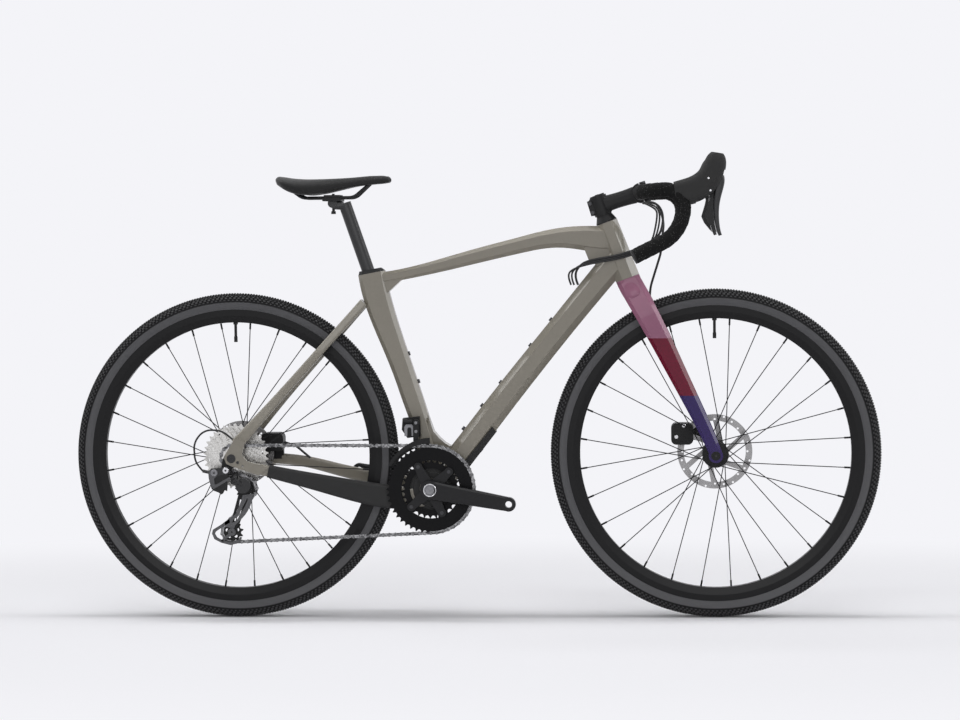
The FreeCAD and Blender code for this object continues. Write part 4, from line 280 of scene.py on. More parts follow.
# %% [markdown]
# The fork has a thinner lacquer over three level bands of colour: mauve at the crown, crimson in the
# middle and purple at the tips. The bands are masked level with the ground, so their edges come from
# the height alone, and a ramp with hard steps turns height into colour. The ramp runs from the ground
# to one metre up, so a height in metres is also a place on it.

# %% Fork paint
BAND_LOW = 0.475
BAND_HIGH = 0.595

fork_paint = finish("lacquered_paint_three_bands", "#936078", "#99667e", 6.0, 0.012, 0.34,
                    Specular_IOR_Level=0.1, Coat_Weight=0.4, Coat_Roughness=0.05, Coat_IOR=1.5)
tree = fork_paint.node_tree
place = add(tree, "ShaderNodeTexCoord")
height = add(tree, "ShaderNodeSeparateXYZ", {0: (place, "Object")})
bands = add(tree, "ShaderNodeValToRGB", {"Fac": (height, "Z")})
bands.color_ramp.interpolation = "CONSTANT"
steps = bands.color_ramp.elements
steps[0].position = 0.0
steps[0].color = colour("#30215a")
steps[1].position = BAND_LOW
steps[1].color = colour("#680a29")
mauve = steps.new(BAND_HIGH)
mauve.color = colour("#936078")
tree.links.new(bands.outputs["Color"], tree.nodes["Principled BSDF"].inputs["Base Color"])
dress(fork_paint, "fork")
print("fork bands change at", BAND_LOW, "and", BAND_HIGH, "m")

# %% [markdown]
# Stem, bar, derailleurs and brake bodies are aluminium that was bead blasted and anodised black.
# Anodising is a thin glassy skin full of dye, so it looks like a satin dark grey, and hardly
# metallic. The crank arms are polished before the skin grows, so their reflections are sharper.

# %% Anodised parts
black_anodised = finish("anodised_aluminium_black", "#151515", "#1e1e1f", 2.5, 0.03, 0.44,
                        Specular_IOR_Level=0.22)
grey_anodised = finish("anodised_aluminium_grey", "#232324", "#2c2c2d", 2.5, 0.03, 0.36, Metallic=0.25)
crank_skin = finish("polished_anodised_aluminium", "#0e0e10", "#131315", 3.0, 0.006, 0.30, spread=0.02,
                    Specular_IOR_Level=0.3)
ring_skin = finish("hard_anodised_aluminium", "#09090a", "#101012", 2.5, 0.02, 0.40, Specular_IOR_Level=0.12)
dress(black_anodised, "stem", "stem_faceplate", "handlebar", "headset_stack", "saddle_clamp", "front_hub",
      "rear_hub", "rear_caliper", "front_caliper", "derailleur_hanger", "bottom_bracket", "fd_body",
      "rd_cage", "front_valve", "rear_valve")
dress(grey_anodised, "seatpost", "brake_lever_right", "brake_lever_left", "rd_mount", "rd_outer_link",
      "rd_inner_link", "rd_cage_knuckle", "front_axle", "rear_axle")
dress(crank_skin, "crank_right", "crank_left")
dress(ring_skin, "chainrings")
print("anodised pieces dressed")

# %% [markdown]
# The rims are satin black too, with a tighter shine on their sides, and the spokes are black steel
# wire. Moulded parts, such as the shift paddles and the pulleys, are nylon filled with glass fibre,
# which looks dull and a little mottled.

# %% Rims, spokes and moulded parts
rim_skin = finish("anodised_aluminium_rim", "#0b0b0c", "#131314", 3.0, 0.02, 0.38, Specular_IOR_Level=0.22)
spoke_wire = finish("black_oxide_steel", "#121214", "#1a1a1c", 2.0, 0.01, 0.45, Specular_IOR_Level=0.2)
nylon = finish("glass_filled_nylon", "#171717", "#202021", 2.5, 0.05, 0.55, Specular_IOR_Level=0.3)
guard = finish("moulded_rubber_guard", "#262626", "#2e2e2e", 2.5, 0.06, 0.62, Specular_IOR_Level=0.25)
hose_skin = finish("extruded_nylon_hose", "#131314", "#1b1b1c", 3.0, 0.02, 0.42, Specular_IOR_Level=0.4)
dress(rim_skin, "front_rim", "rear_rim")
dress(spoke_wire, "front_spokes", "rear_spokes", "saddle_rails")
dress(nylon, "seat_clamp", "bar_plugs", "shift_paddle_right", "shift_paddle_left", "guide_pulley",
      "tension_pulley")
dress(guard, "frame_guards")
dress(hose_skin, "rear_shift_housing", "front_brake_hose")
print("rims, spokes and nylon dressed")

# %% [markdown]
# The bright steel parts are all metal: nickel-plated sprockets, the grey chain, stainless bolts and
# the ground brake rotors. A metal has no base of its own, so its colour is the colour of its mirror.
# The plates of the chain were plated loose in a drum, so each has a tone of its own. The chain's grain
# is drawn coarser than the real one, so that its links sparkle unevenly at this distance.

# %% Steel parts
nickel = finish("nickel_plated_steel", "#96948f", "#fbfaf7", 2.5, 0.02, 0.30, Metallic=1.0)
chain_steel = finish("plated_chain_steel", "#3c3c3e", "#dededf", 5.0, 0.02, 0.30, Metallic=1.0)
tree = chain_steel.node_tree
faces_of_links = add(tree, "ShaderNodeNewGeometry")
grain = tree.nodes["Principled BSDF"].inputs["Base Color"].links[0].from_node
links_tone = add(tree, "ShaderNodeMix", {0: (faces_of_links, "Random Per Island"), 6: colour("#1f1f21"),
                                         7: (grain, 2)}, data_type="RGBA")
tree.links.new(links_tone.outputs[2], tree.nodes["Principled BSDF"].inputs["Base Color"])
bolt_steel = finish("blackened_bolt_steel", "#3a3a3c", "#4a4a4c", 2.0, 0.02, 0.34, Metallic=0.9)
rotor_steel = finish("ground_stainless_steel", "#8d8c8c", "#a9a8a8", 2.0, 0.02, 0.32, Metallic=1.0)
dress(nickel, "cassette")
dress(chain_steel, "chain")
dress(bolt_steel, "bottle_bolts", "cockpit_bolts", "chainring_bolts", "headset_bearings")
dress(rotor_steel, "front_rotor", "rear_rotor")
print("steel parts dressed")

# %% [markdown]
# The brake hoods are soft rubber with a fine moulded grain.

# %% Hood rubber
hood_rubber = finish("moulded_hood_rubber", "#2a2a2a", "#333333", 2.2, 0.12, 0.66, Specular_IOR_Level=0.2)
dress(hood_rubber, "lever_hoods")
print("hoods dressed")

# %% [markdown]
# Built pieces are made from rows of points. A grid of points becomes a skin of four-sided faces, and
# the skin becomes an object that rides on a CAD body. Both helpers serve almost every piece below.

# %% Skins and pieces


def skin(rows, round_rows=False, round_columns=True):
    """The points and faces of a grid, closed along its rows or its columns where asked."""
    rows = np.asarray(rows, float)
    count, across = rows.shape[:2]
    last_row = count if round_rows else count - 1
    last_column = across if round_columns else across - 1
    faces = []
    for i in range(last_row):
        for j in range(last_column):
            ni, nj = (i + 1) % count, (j + 1) % across
            faces.append((i * across + j, i * across + nj, ni * across + nj, ni * across + j))
    return rows.reshape(-1, 3), faces


def piece(name, points, faces, material, body, smooth=True):
    """A mesh object that rides on a body, in the material it is given."""
    mesh = bpy.data.meshes.new(name)
    mesh.from_pydata([tuple(p) for p in points], [], faces)
    mesh.validate()
    mesh.polygons.foreach_set("use_smooth", [smooth] * len(mesh.polygons))
    mesh.materials.append(material)
    made = bpy.data.objects.new(name, mesh)
    scene.collection.objects.link(made)
    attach(made, body)
    return made


print("skin and piece are ready")

# %% [markdown]
# A gravel tyre is a rubber tube with a tread of small blocks. The carcass is a ring whose section
# runs from one bead over the crown to the other bead. Every block is a tapered box that stands on the
# carcass: small slanted ones in the middle for rolling, larger ones on the shoulders for grip. They are
# placed by two angles, one round the wheel and one round the section, so loops make thousands of them.

# %% Tyre sizes
TYRE_RADIUS = 0.350
TYRE_CENTRE = 0.331
CARCASS = 0.0168
CROWN_EDGE = math.radians(84)
# Distance from the axle and from the middle plane, in metres, with the thin ridges of the mould
BEAD_TO_SHOULDER = [(0.3138, 0.0112), (0.3155, 0.0131), (0.3164, 0.0133), (0.3172, 0.0141), (0.3210, 0.0163),
                    (0.3255, 0.0178), (0.3284, 0.0181), (0.3292, 0.0187), (0.3300, 0.0181)]
CROWN_STEPS = 22
ROUND_STEPS = 240
MIDDLE_BLOCKS = 372
SHOULDER_BLOCKS = 230
# How deep a block's foot is sunk in the carcass, in metres, and its top as a share of its foot
BLOCK_SUNK = 0.0006
BLOCK_TOP = 0.72
BLOCK_FACES = [(4, 5, 6, 7), (0, 1, 5, 4), (1, 2, 6, 5), (2, 3, 7, 6), (3, 0, 4, 7)]
# The length of a slanted block as a share of its row's, and how far it leans along the wheel
SLANTED_LENGTH = 0.7
SLANT = 0.03
# Each row of blocks: degrees from the crown, shift in blocks, half sizes round and across in mm, height in mm
MIDDLE_ROWS = [(0, 0.0, 2.0, 1.5, 2.2), (12, 0.04, 2.0, 1.5, 1.9), (24, 0.28, 2.2, 1.5, 2.2),
               (36, 0.42, 2.2, 1.5, 2.2)]
SHOULDER_ROWS = [(49, 0.0, 3.1, 1.6, 2.2), (62, 0.35, 3.3, 2.0, 2.1), (76, 0.7, 2.7, 1.5, 1.7)]
middle_count = MIDDLE_BLOCKS * (2 * len(MIDDLE_ROWS) - 1)
shoulder_count = SHOULDER_BLOCKS * 2 * len(SHOULDER_ROWS)
print(middle_count + shoulder_count, "blocks on each tyre")

# %% Tyre mesh


def tread_point(round_angle, section_angle, height):
    """A point of the tyre, measured from the axle."""
    radius = TYRE_CENTRE + height * np.cos(section_angle)
    return np.stack([radius * np.cos(round_angle), height * np.sin(section_angle),
                     radius * np.sin(round_angle)], -1)


def carcass_section():
    """Radius and side of the carcass from the left bead to the right bead."""
    crown = [(TYRE_CENTRE + CARCASS * math.cos(a), CARCASS * math.sin(a))
             for a in np.linspace(CROWN_EDGE, -CROWN_EDGE, CROWN_STEPS)]
    return BEAD_TO_SHOULDER + crown + [(r, -y) for r, y in reversed(BEAD_TO_SHOULDER)]


def tread_block(turn_angle, tilt, along, across, height):
    """The eight points of a block whose top is smaller than its foot, which is sunk in the carcass."""
    points = []
    for lift, share in ((-BLOCK_SUNK, 1.0), (height, BLOCK_TOP)):
        for u, v in ((-1, -1), (1, -1), (1, 1), (-1, 1)):
            points.append((turn_angle + u * along * share, tilt + v * across * share, CARCASS + lift))
    return points


def tread_blocks():
    """The angles and faces of every block on one tyre."""
    spots, faces = [], []
    for rows, count, slanted in ((MIDDLE_ROWS, MIDDLE_BLOCKS, True), (SHOULDER_ROWS, SHOULDER_BLOCKS, False)):
        for degrees, shift, along, across, height in rows:
            for side in ((1,) if degrees == 0 else (1, -1)):
                for i in range(count):
                    here = (i + shift) * 2 * math.pi / count
                    tilt = side * math.radians(degrees)
                    block = tread_block(here, tilt, along * MM / TYRE_RADIUS, across * MM / CARCASS,
                                        height * MM)
                    if slanted:
                        block = [(here + (t - here) * SLANTED_LENGTH + (p - tilt) * SLANT, p, h)
                                 for t, p, h in block]
                    faces += [tuple(len(spots) + k for k in face) for face in BLOCK_FACES]
                    spots += block
    return np.array(spots), faces


print("tyre section has", len(carcass_section()), "points")

# %% [markdown]
# Tyre rubber is black with soot and dull from the mould. Its side wall is smoother and greyer than
# the tread, which shows as a pale band beside the rim. The distance from the axle tells them apart.
# The tops of the blocks are scuffed to a lighter grey, and the grooves between them are painted black as
# shade.
# The distance from the middle of the tyre's section tells tops from grooves.

# %% Tyre rubber
SIDE_WALL_EDGE = 0.3296
BAND_SOFTNESS = 0.0008
SHADE_TO_WEAR_FROM = CARCASS + 0.0004
SHADE_TO_WEAR_TO = CARCASS + 0.0014

tyre_rubber = finish("vulcanised_tyre_rubber", "#404041", "#4c4c4d", 3.0, 0.12, 0.68, Specular_IOR_Level=0.16)
tree = tyre_rubber.node_tree
place = add(tree, "ShaderNodeTexCoord")
flat = add(tree, "ShaderNodeVectorMath", {0: (place, "Object"), 1: (1, 0, 1)}, operation="MULTIPLY")
reach = add(tree, "ShaderNodeVectorMath", {0: (flat, "Vector")}, operation="LENGTH")
outside = add(tree, "ShaderNodeMapRange", {"Value": (reach, "Value"), "From Min": SIDE_WALL_EDGE,
                                           "From Max": SIDE_WALL_EDGE + BAND_SOFTNESS})
height = add(tree, "ShaderNodeSeparateXYZ", {0: (place, "Object")})
lift = add(tree, "ShaderNodeMath", {0: (reach, "Value"), 1: TYRE_CENTRE}, operation="SUBTRACT")
ray = add(tree, "ShaderNodeCombineXYZ", {"X": (lift, "Value"), "Y": (height, "Y")})
thick = add(tree, "ShaderNodeVectorMath", {0: (ray, "Vector")}, operation="LENGTH")
tops_worn_grooves_shaded = add(tree, "ShaderNodeMapRange", {"Value": (thick, "Value"), "From Min": SHADE_TO_WEAR_FROM,
                                        "From Max": SHADE_TO_WEAR_TO})
grain = tree.nodes["Principled BSDF"].inputs["Base Color"].links[0].from_node
# Grooves get a painted shade in near-black, and block tops keep the scuffed grey of the grain
tread_wear_and_shade = add(tree, "ShaderNodeMix", {0: (tops_worn_grooves_shaded, "Result"), 6: colour("#1d1d1e"), 7: (grain, 2)},
                 data_type="RGBA")
two_tone = add(tree, "ShaderNodeMix", {0: (outside, "Result"), 6: colour("#5a5a5c"), 7: (tread_wear_and_shade, 2)},
               data_type="RGBA")
tree.links.new(two_tone.outputs[2], tree.nodes["Principled BSDF"].inputs["Base Color"])
print("side wall is greyer inside", SIDE_WALL_EDGE, "m")

# %% Both tyres
block_angles, block_faces = tread_blocks()
for wheel in ("front", "rear"):
    axle = pivot[wheel + "_wheel_spin"]
    turns = np.linspace(0, 2 * math.pi, ROUND_STEPS, endpoint=False)
    rings = [[(r * math.cos(t), y, r * math.sin(t)) for r, y in carcass_section()] for t in turns]
    points, faces = skin(rings, round_rows=True, round_columns=False)
    blocks = tread_point(block_angles[:, 0], block_angles[:, 1], block_angles[:, 2])
    faces = faces + [tuple(k + len(points) for k in face) for face in block_faces]
    points = np.concatenate([points, blocks])
    tyre = piece(wheel + "_tyre_with_tread", points, faces, tyre_rubber, wheel + "_wheel")
    tyre.matrix_world = Matrix.Translation(axle)
    on_carcass = np.arange(len(faces)) < len(faces) - len(block_faces)
    tyre.data.polygons.foreach_set("use_smooth", on_carcass)
    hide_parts(wheel + "_tyre")
    print(tyre.name, len(points), "points")

# %% [markdown]
# The bar tape is one long strip of soft polymer, wound from the bar end towards the stem, each turn
# half over the last. The winding shows as a shallow step that runs round the bar like a screw thread.
# So the tape is a tube along the bar's own line whose radius rises and drops once a turn. A band of
# smooth vinyl tape holds its end beside the stem.

# %% Line of the bar
BAR_CENTRE = Vector((0.36026, 0, 0.90365))
BAR_CORNERS = [(0, -0.066, 0), (0, -0.205, 0), (0.088, -0.212, 0.006), (0.087, -0.222, -0.084),
               (-0.012, -0.234, -0.132)]
BAR_BENDS = (0.050, 0.040, 0.082)
BAR_STEP = 0.0015
LEAST_RUN_STEPS = 2
LEAST_BEND_STEPS = 6


def line_between(start, end):
    """Points on a straight run, its end left out."""
    count = max(LEAST_RUN_STEPS, int((end - start).length / BAR_STEP))
    return [start.lerp(end, i / count) for i in range(count)]


def bar_line():
    """Points along the right half of the bar, from beside the stem to its end."""
    spots = [BAR_CENTRE + Vector(c) for c in BAR_CORNERS]
    points, last = [], spots[0]
    for before, corner, after, bend in zip(spots, spots[1:], spots[2:], BAR_BENDS):
        into, out = (corner - before).normalized(), (after - corner).normalized()
        half_turn = into.angle(out) / 2
        reach = bend * math.tan(half_turn)
        begin = corner - into * reach
        centre = corner + (out - into).normalized() * (bend / math.cos(half_turn))
        axis = into.cross(out).normalized()
        points += line_between(last, begin)
        count = max(LEAST_BEND_STEPS, int(2 * half_turn * bend / BAR_STEP))
        for i in range(count):
            points.append(centre + Matrix.Rotation(2 * half_turn * i / count, 3, axis) @ (begin - centre))
        last = corner + out * reach
    return points + line_between(last, spots[-1]) + [spots[-1]]


bar_points = bar_line()
bar_length = sum((b - a).length for a, b in zip(bar_points, bar_points[1:]))
print("taped length on each side", round(bar_length, 3), "m")

# %% Wound tape
TAPE_RADIUS = 0.0150
TAPE_STEP = 0.0007
TAPE_LEAD = 0.017
TAPE_SIDES = 30
TAPE_RISE = 0.9
BAND_LENGTH = 0.020
BAND_RADIUS = TAPE_RADIUS + 0.0006


def tube_along(points, radius_at, sides):
    """Rings round a line, carried along it without twisting. The radius may vary with place and side."""
    points = [Vector(p) for p in points]
    aim = (points[1] - points[0]).normalized()
    out = aim.orthogonal().normalized()
    rings, travelled = [], 0.0
    for i, point in enumerate(points):
        ahead_point = points[min(i + 1, len(points) - 1)]
        behind_point = points[max(i - 1, 0)]
        new_aim = (ahead_point - behind_point).normalized()
        out = aim.rotation_difference(new_aim) @ out
        out = (out - new_aim * out.dot(new_aim)).normalized()
        aim = new_aim
        side = aim.cross(out)
        if i:
            travelled += (point - points[i - 1]).length
        ring = []
        for j in range(sides):
            angle = 2 * math.pi * j / sides
            radius = radius_at(travelled, j / sides)
            ring.append(point + (out * math.cos(angle) + side * math.sin(angle)) * radius)
        rings.append(ring)
    return rings


def tape_radius(travelled, round_share):
    """Rises slowly over a turn, then drops over the edge of the strip below."""
    turn_share = (travelled / TAPE_LEAD + round_share) % 1.0
    rise = turn_share / TAPE_RISE if turn_share < TAPE_RISE else (1 - turn_share) / (1 - TAPE_RISE)
    return TAPE_RADIUS + TAPE_STEP * rise - TAPE_STEP / 2


def closed_tube(rings):
    """The skin of a tube with both of its ends closed."""
    points, faces = skin(rings)
    sides = len(rings[0])
    return points, faces + [tuple(range(sides)), tuple(len(points) - 1 - i for i in range(sides))]


tape_rings = tube_along(bar_points, tape_radius, TAPE_SIDES)
band_points = [p for i, p in enumerate(bar_points) if i * BAR_STEP < BAND_LENGTH]
band_rings = tube_along(band_points, lambda travelled, share: BAND_RADIUS, TAPE_SIDES)
print(len(tape_rings), "rings of tape")

# %% [markdown]
# The tape is black polymer foam with cork dust and a pattern of pin holes, which the photo shows as
# pale specks. The holes are a Voronoi pattern about four millimetres apart, drawn wider than the real
# pin holes so that they show.

# %% Tape material
HOLE_SPACING = 4.0
HOLE_SCATTER = 0.7
# A speck is full inside the first share of the spacing and gone outside the second
SPECK_FULL = 0.16
SPECK_GONE = 0.24

tape_foam = finish("cork_polymer_foam_tape", "#0f0f0f", "#171717", 3.0, 0.15, 0.72, Specular_IOR_Level=0.12)
tree = tape_foam.node_tree
place = add(tree, "ShaderNodeTexCoord")
holes = add(tree, "ShaderNodeTexVoronoi", {"Vector": (place, "Object"), "Scale": 1 / (HOLE_SPACING * MM),
                                           "Randomness": HOLE_SCATTER})
speck = add(tree, "ShaderNodeMapRange", {"Value": (holes, "Distance"), "From Min": SPECK_FULL,
                                         "From Max": SPECK_GONE, "To Min": 1.0, "To Max": 0.0})
grain = tree.nodes["Principled BSDF"].inputs["Base Color"].links[0].from_node
speckled = add(tree, "ShaderNodeMix", {0: (speck, "Result"), 6: (grain, 2), 7: colour("#4a4a4a")},
               data_type="RGBA")
tree.links.new(speckled.outputs[2], tree.nodes["Principled BSDF"].inputs["Base Color"])
vinyl = finish("smooth_vinyl_tape", "#101011", "#161617", 3.0, 0.02, 0.32, Specular_IOR_Level=0.4)
MIRROR = np.array([1, -1, 1])
for side, mirror in (("right", np.ones(3)), ("left", MIRROR)):
    for name, rings, material in (("bar_tape_wound_", tape_rings, tape_foam),
                                  ("bar_tape_band_", band_rings, vinyl)):
        points, faces = closed_tube(rings)
        faces = faces if side == "right" else [face[::-1] for face in faces]
        made = piece(name + side, points * mirror, faces, material, "steering")
        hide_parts("bar_tape")
print("bar tape on both sides")

# %% [markdown]
# Hoses and cables leave the levers under the tape, hang in a loop ahead of the head tube, pass its
# right side and go into ports on the down tube. They cross the steering joint, and each is one fixed
# tube between the frame and the steering, attached to neither. Its line is a smooth curve with the
# route's points as control points.

# %% Hose routes
HEAD_TOP = Vector((0.28696, 0, 0.84238))
PORT = Vector((0.22512, 0, 0.70892))
CURVE_STEPS = 12
CURVE_ROUNDNESS = 3
# Each hose: name, start beside the stem, step behind the first, place of its port and radius, in mm
HOSES = [("brake_hose_to_frame", -36, 0, -4, 2.5), ("shift_cable_front", -43, 8, -10.5, 2.0),
         ("shift_cable_rear", -50, 15, 2.5, 2.0)]


def hose_route(start_y, step, port_y, thick):
    """The control points of one hose, in millimetres from the places it passes."""
    stops = [(BAR_CENTRE, (3, start_y, -19 - thick)), (BAR_CENTRE, (30, start_y * 0.6, -16 - step)),
             (BAR_CENTRE, (50 - step, -14 - step * 0.3, -50)),
             (BAR_CENTRE, (34 - step, -24, -104 - step)), (HEAD_TOP, (26, -33.5, -70 - step * 0.5)),
             (HEAD_TOP, (-30, -33.5, -78 - step * 0.5)), (PORT, (6 - step, -22, 46 - step * 0.6)),
             (PORT, (-9 - step, port_y, 22)), (PORT, (-step, port_y, 1.5))]
    return [centre + Vector(offset) * MM for centre, offset in stops]


def smooth_curve(name, route, radius):
    """A round curve object with the route's points as its control points."""
    data = bpy.data.curves.new(name, "CURVE")
    data.dimensions = "3D"
    data.resolution_u = CURVE_STEPS
    data.bevel_depth = radius
    data.bevel_resolution = CURVE_ROUNDNESS
    data.use_fill_caps = True
    spline = data.splines.new("NURBS")
    spline.points.add(len(route) - 1)
    for point, stop in zip(spline.points, route):
        point.co = (*stop, 1)
    spline.order_u = 3
    spline.use_endpoint_u = True
    return bpy.data.objects.new(name, data)


for name, start_y, step, port_y, thick in HOSES:
    curve = smooth_curve(name + "_line", hose_route(start_y, step, port_y, thick), thick * MM)
    scene.collection.objects.link(curve)
    mesh = bpy.data.meshes.new_from_object(curve.evaluated_get(bpy.context.evaluated_depsgraph_get()))
    bpy.data.objects.remove(curve)
    hose = bpy.data.objects.new(name, mesh)
    mesh.materials.clear()
    mesh.materials.append(hose_skin)
    mesh.polygons.foreach_set("use_smooth", [True] * len(mesh.polygons))
    scene.collection.objects.link(hose)
    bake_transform(hose)
    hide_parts("steering_hoses")
    print(name, len(mesh.vertices), "points")

# %% [markdown]
# The saddle is a firm foam pad on a moulded shell, covered in one piece of microfibre. It is widest
# at the tail and has a shallow channel down the middle. It is built as sections from tail to nose:
# each section is crowned on top, drawn in at the sides and flat where it sits on its shell. A smooth
# curve through a few measured stations gives the sections between them.

# %% Saddle sections
SADDLE_PLACE = Vector((-0.2968, 0, 0.9015))
SADDLE_LENGTH = 0.243
SADDLE_WIDTH = 0.143
# Stations: share of the length, top above the rails in mm, thickness in mm, share of the width
SADDLE_STATIONS = np.array([(-0.490, 44, 9, 0.45), (-0.478, 46, 15, 0.62), (-0.44, 46, 22, 0.86),
                            (-0.36, 43, 30, 1.00), (-0.24, 40.5, 34, 0.96), (-0.10, 40.5, 32, 0.72),
                            (0.06, 42, 26, 0.46), (0.22, 44, 20, 0.34), (0.38, 46, 18, 0.30),
                            (0.47, 45, 15, 0.26), (0.505, 42, 10, 0.17), (0.513, 39.5, 6, 0.09)])
CROWN_POINTS = 25
CROWN_POWER = 3.4
CROWN_SHARE = 0.45
CHANNEL_DEPTH = 0.0028
CHANNEL_WIDTH = 0.009
# The channel's middle and reach, as shares of the saddle's length
CHANNEL_MIDDLE = -0.08
CHANNEL_REACH = 0.27
# The side of a section: share of the half width, share of the thickness below the top
SADDLE_SIDE = [(1.0, 0.55), (0.99, 0.66), (0.965, 0.78), (0.92, 0.90), (0.86, 0.98), (0.78, 1.0), (0.4, 1.0)]


def eased(xs, knots, values):
    """A smooth curve through values at the knots, whose slopes come from the neighbours."""
    slopes = np.gradient(values, knots)
    found = []
    for x in xs:
        i = min(max(np.searchsorted(knots, x) - 1, 0), len(knots) - 2)
        span = knots[i + 1] - knots[i]
        t = (x - knots[i]) / span
        found.append(values[i] * (1 + 2 * t) * (1 - t) ** 2 + slopes[i] * span * t * (1 - t) ** 2
                     + values[i + 1] * t * t * (3 - 2 * t) + slopes[i + 1] * span * t * t * (t - 1))
    return np.array(found)


def saddle_section(share, top, depth, width):
    """One section: crown, left side, base and right side."""
    half = width / 2
    channel = CHANNEL_DEPTH * math.exp(-((share - CHANNEL_MIDDLE) / CHANNEL_REACH) ** 4)
    ring = []
    for t in np.linspace(-1, 1, CROWN_POINTS):
        y = half * t
        crown = CROWN_SHARE * depth * abs(t) ** CROWN_POWER
        ring.append((y, top - crown - channel * math.exp(-(y / CHANNEL_WIDTH) ** 2)))
    ring += [(half * y, top - depth * z) for y, z in SADDLE_SIDE]
    ring += [(-half * y, top - depth * z) for y, z in reversed(SADDLE_SIDE)]
    return [SADDLE_PLACE + Vector((share * SADDLE_LENGTH, y, z)) for y, z in ring]


# The sections lie closer together at the tail and at the nose
shares = np.concatenate([np.linspace(-0.490, -0.44, 7), np.linspace(-0.43, 0.45, 40),
                         np.linspace(0.46, 0.513, 8)])
columns = [eased(shares, SADDLE_STATIONS[:, 0], SADDLE_STATIONS[:, k]) for k in (1, 2, 3)]
saddle_rings = [saddle_section(share, top * MM, depth * MM, width * SADDLE_WIDTH)
                for share, top, depth, width in zip(shares, *columns)]
print(len(saddle_rings), "saddle sections")

# %% [markdown]
# Microfibre is a suede-like cloth pressed with a leather grain: dull, with a soft sheen at the edges.

# %% Saddle cover
saddle_skin = finish("pressed_microfibre_cover", "#161616", "#202020", 2.6, 0.10, 0.58,
                     Specular_IOR_Level=0.25, Sheen_Weight=0.15, Sheen_Roughness=0.4)
points, faces = closed_tube(saddle_rings)
saddle = piece("saddle_cover", points, faces, saddle_skin, "seat")
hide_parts("saddle")
print("saddle cover has", len(points), "points")

# %% [markdown]
# Small fittings are turned or stamped. A turned one is a ring of points for every step of its
# profile, spun about the left-right axis. A stamped one is an outline with a thickness, or a strip
# between two lines where the plate is long and curved. Three functions make them all, from sizes in
# millimetres.

# %% Turned and stamped fittings
LATHE_SIDES = 48


def turned(name, centre, profile, material, body, slot):
    """A ring-shaped piece from a profile of (radius, distance to the left) in millimetres."""
    angles = np.linspace(0, 2 * math.pi, LATHE_SIDES, endpoint=False)
    rows = [[centre + Vector((r * math.cos(a), y, r * math.sin(a))) * MM for a in angles] for r, y in profile]
    points, faces = skin(rows)
    return piece(name, points, faces, material, body, smooth=False)


def stamped(name, outline, low, high, material, body, slot):
    """A plate from a closed side-view outline in millimetres, between two distances to the left."""
    rows = [[Vector((x, y, z)) * MM for x, z in outline] for y in (low, high)]
    points, faces = closed_tube(rows)
    return piece(name, points, faces, material, body, smooth=False)


def strip(name, first, second, low, high, material, body, slot):
    """A flat band between two side-view lines in millimetres, between two distances to the left."""
    rows = [[Vector((x, y, z)) * MM for (x, z), y in ((a, low), (a, high), (b, high), (b, low))]
            for a, b in zip(first, second)]
    points, faces = closed_tube(rows)
    return piece(name, points, faces, material, body, smooth=False)


print("turned, stamped and strip are ready")

# %% [markdown]
# The crank has a bright chrome ring with a grey cap inside it. A dark plate on the bottom-bracket shell
# behind it is painted shade, where shade falls behind the spider. The hoods have two bright pivot screws
# each, and the front derailleur has a grey link plate on its outer side.

# %% Crank cap, hood screws and link plate
chrome = finish("polished_chrome_plate", "#c9c9cb", "#dcdcde", 2.5, 0.01, 0.16, Metallic=1.0)
grey_plate = finish("bead_blasted_aluminium", "#77777a", "#8b8b8e", 2.5, 0.03, 0.40, Metallic=0.8)
crank_axis = pivot["crank_spin"]
CAP_RING = [(12.0, -69.9), (12.0, -71.4), (12.4, -71.8), (13.4, -71.8), (14.0, -71.1), (14.0, -69.9)]
CAP = [(0.2, -70.6), (2.8, -70.6), (3.0, -71.3), (8.8, -71.3), (9.8, -70.3), (12.1, -70.2)]
turned("crank_cap_ring", crank_axis, CAP_RING, chrome, "crankset", "crank_alloy")
turned("crank_cap", crank_axis, CAP, grey_plate, "crankset", "crank_alloy")
HOOD_SCREW = [(0.2, 229.6), (2.0, 229.6), (2.4, 229.0), (2.4, 224.0)]
HOOD_SCREW_PLACES = [(0.4979, 0, 0.9284), (0.5016, 0, 0.9035)]
for tag, side in (("right", -1), ("left", 1)):
    profile = [(r, side * y) for r, y in HOOD_SCREW]
    for i, spot in enumerate(HOOD_SCREW_PLACES):
        turned(f"hood_screw_{tag}_{i}", Vector(spot), profile, chrome, "steering", "steel")
LINK_PLATE = [(-147.0, 392.5), (-147.0, 412.0), (-143.0, 417.5), (-131.0, 417.5), (-127.0, 412.0),
              (-125.6, 392.5), (-131.5, 392.5), (-132.0, 408.0), (-134.0, 411.0), (-138.5, 411.0),
              (-140.5, 408.0), (-141.0, 392.5)]
LINK_PLATE_Y = (-34.4, -32.8)
stamped("fd_link_plate", LINK_PLATE, *LINK_PLATE_Y, grey_plate, "frame", "black_alloy")
# A dark plate of painted shade that covers the shell's paint behind the spider
BB_SHADE_PLATE = [(23.8, -42.8), (23.8, -43.4), (37.0, -43.4), (39.0, -41.4), (46.0, -41.4), (47.0, -40.4)]
turned("bb_shade_plate", crank_axis, BB_SHADE_PLATE, guard, "frame", "guard_rubber")
print("crank cap, hood screws and link plate are in place")

# %% [markdown]
# The rear derailleur's outer cage plate is stamped grey aluminium: a curved arm with two slots and a
# loop round the lower pulley. A strip between two lines makes each of its bands, so the slots are
# real gaps between bands.

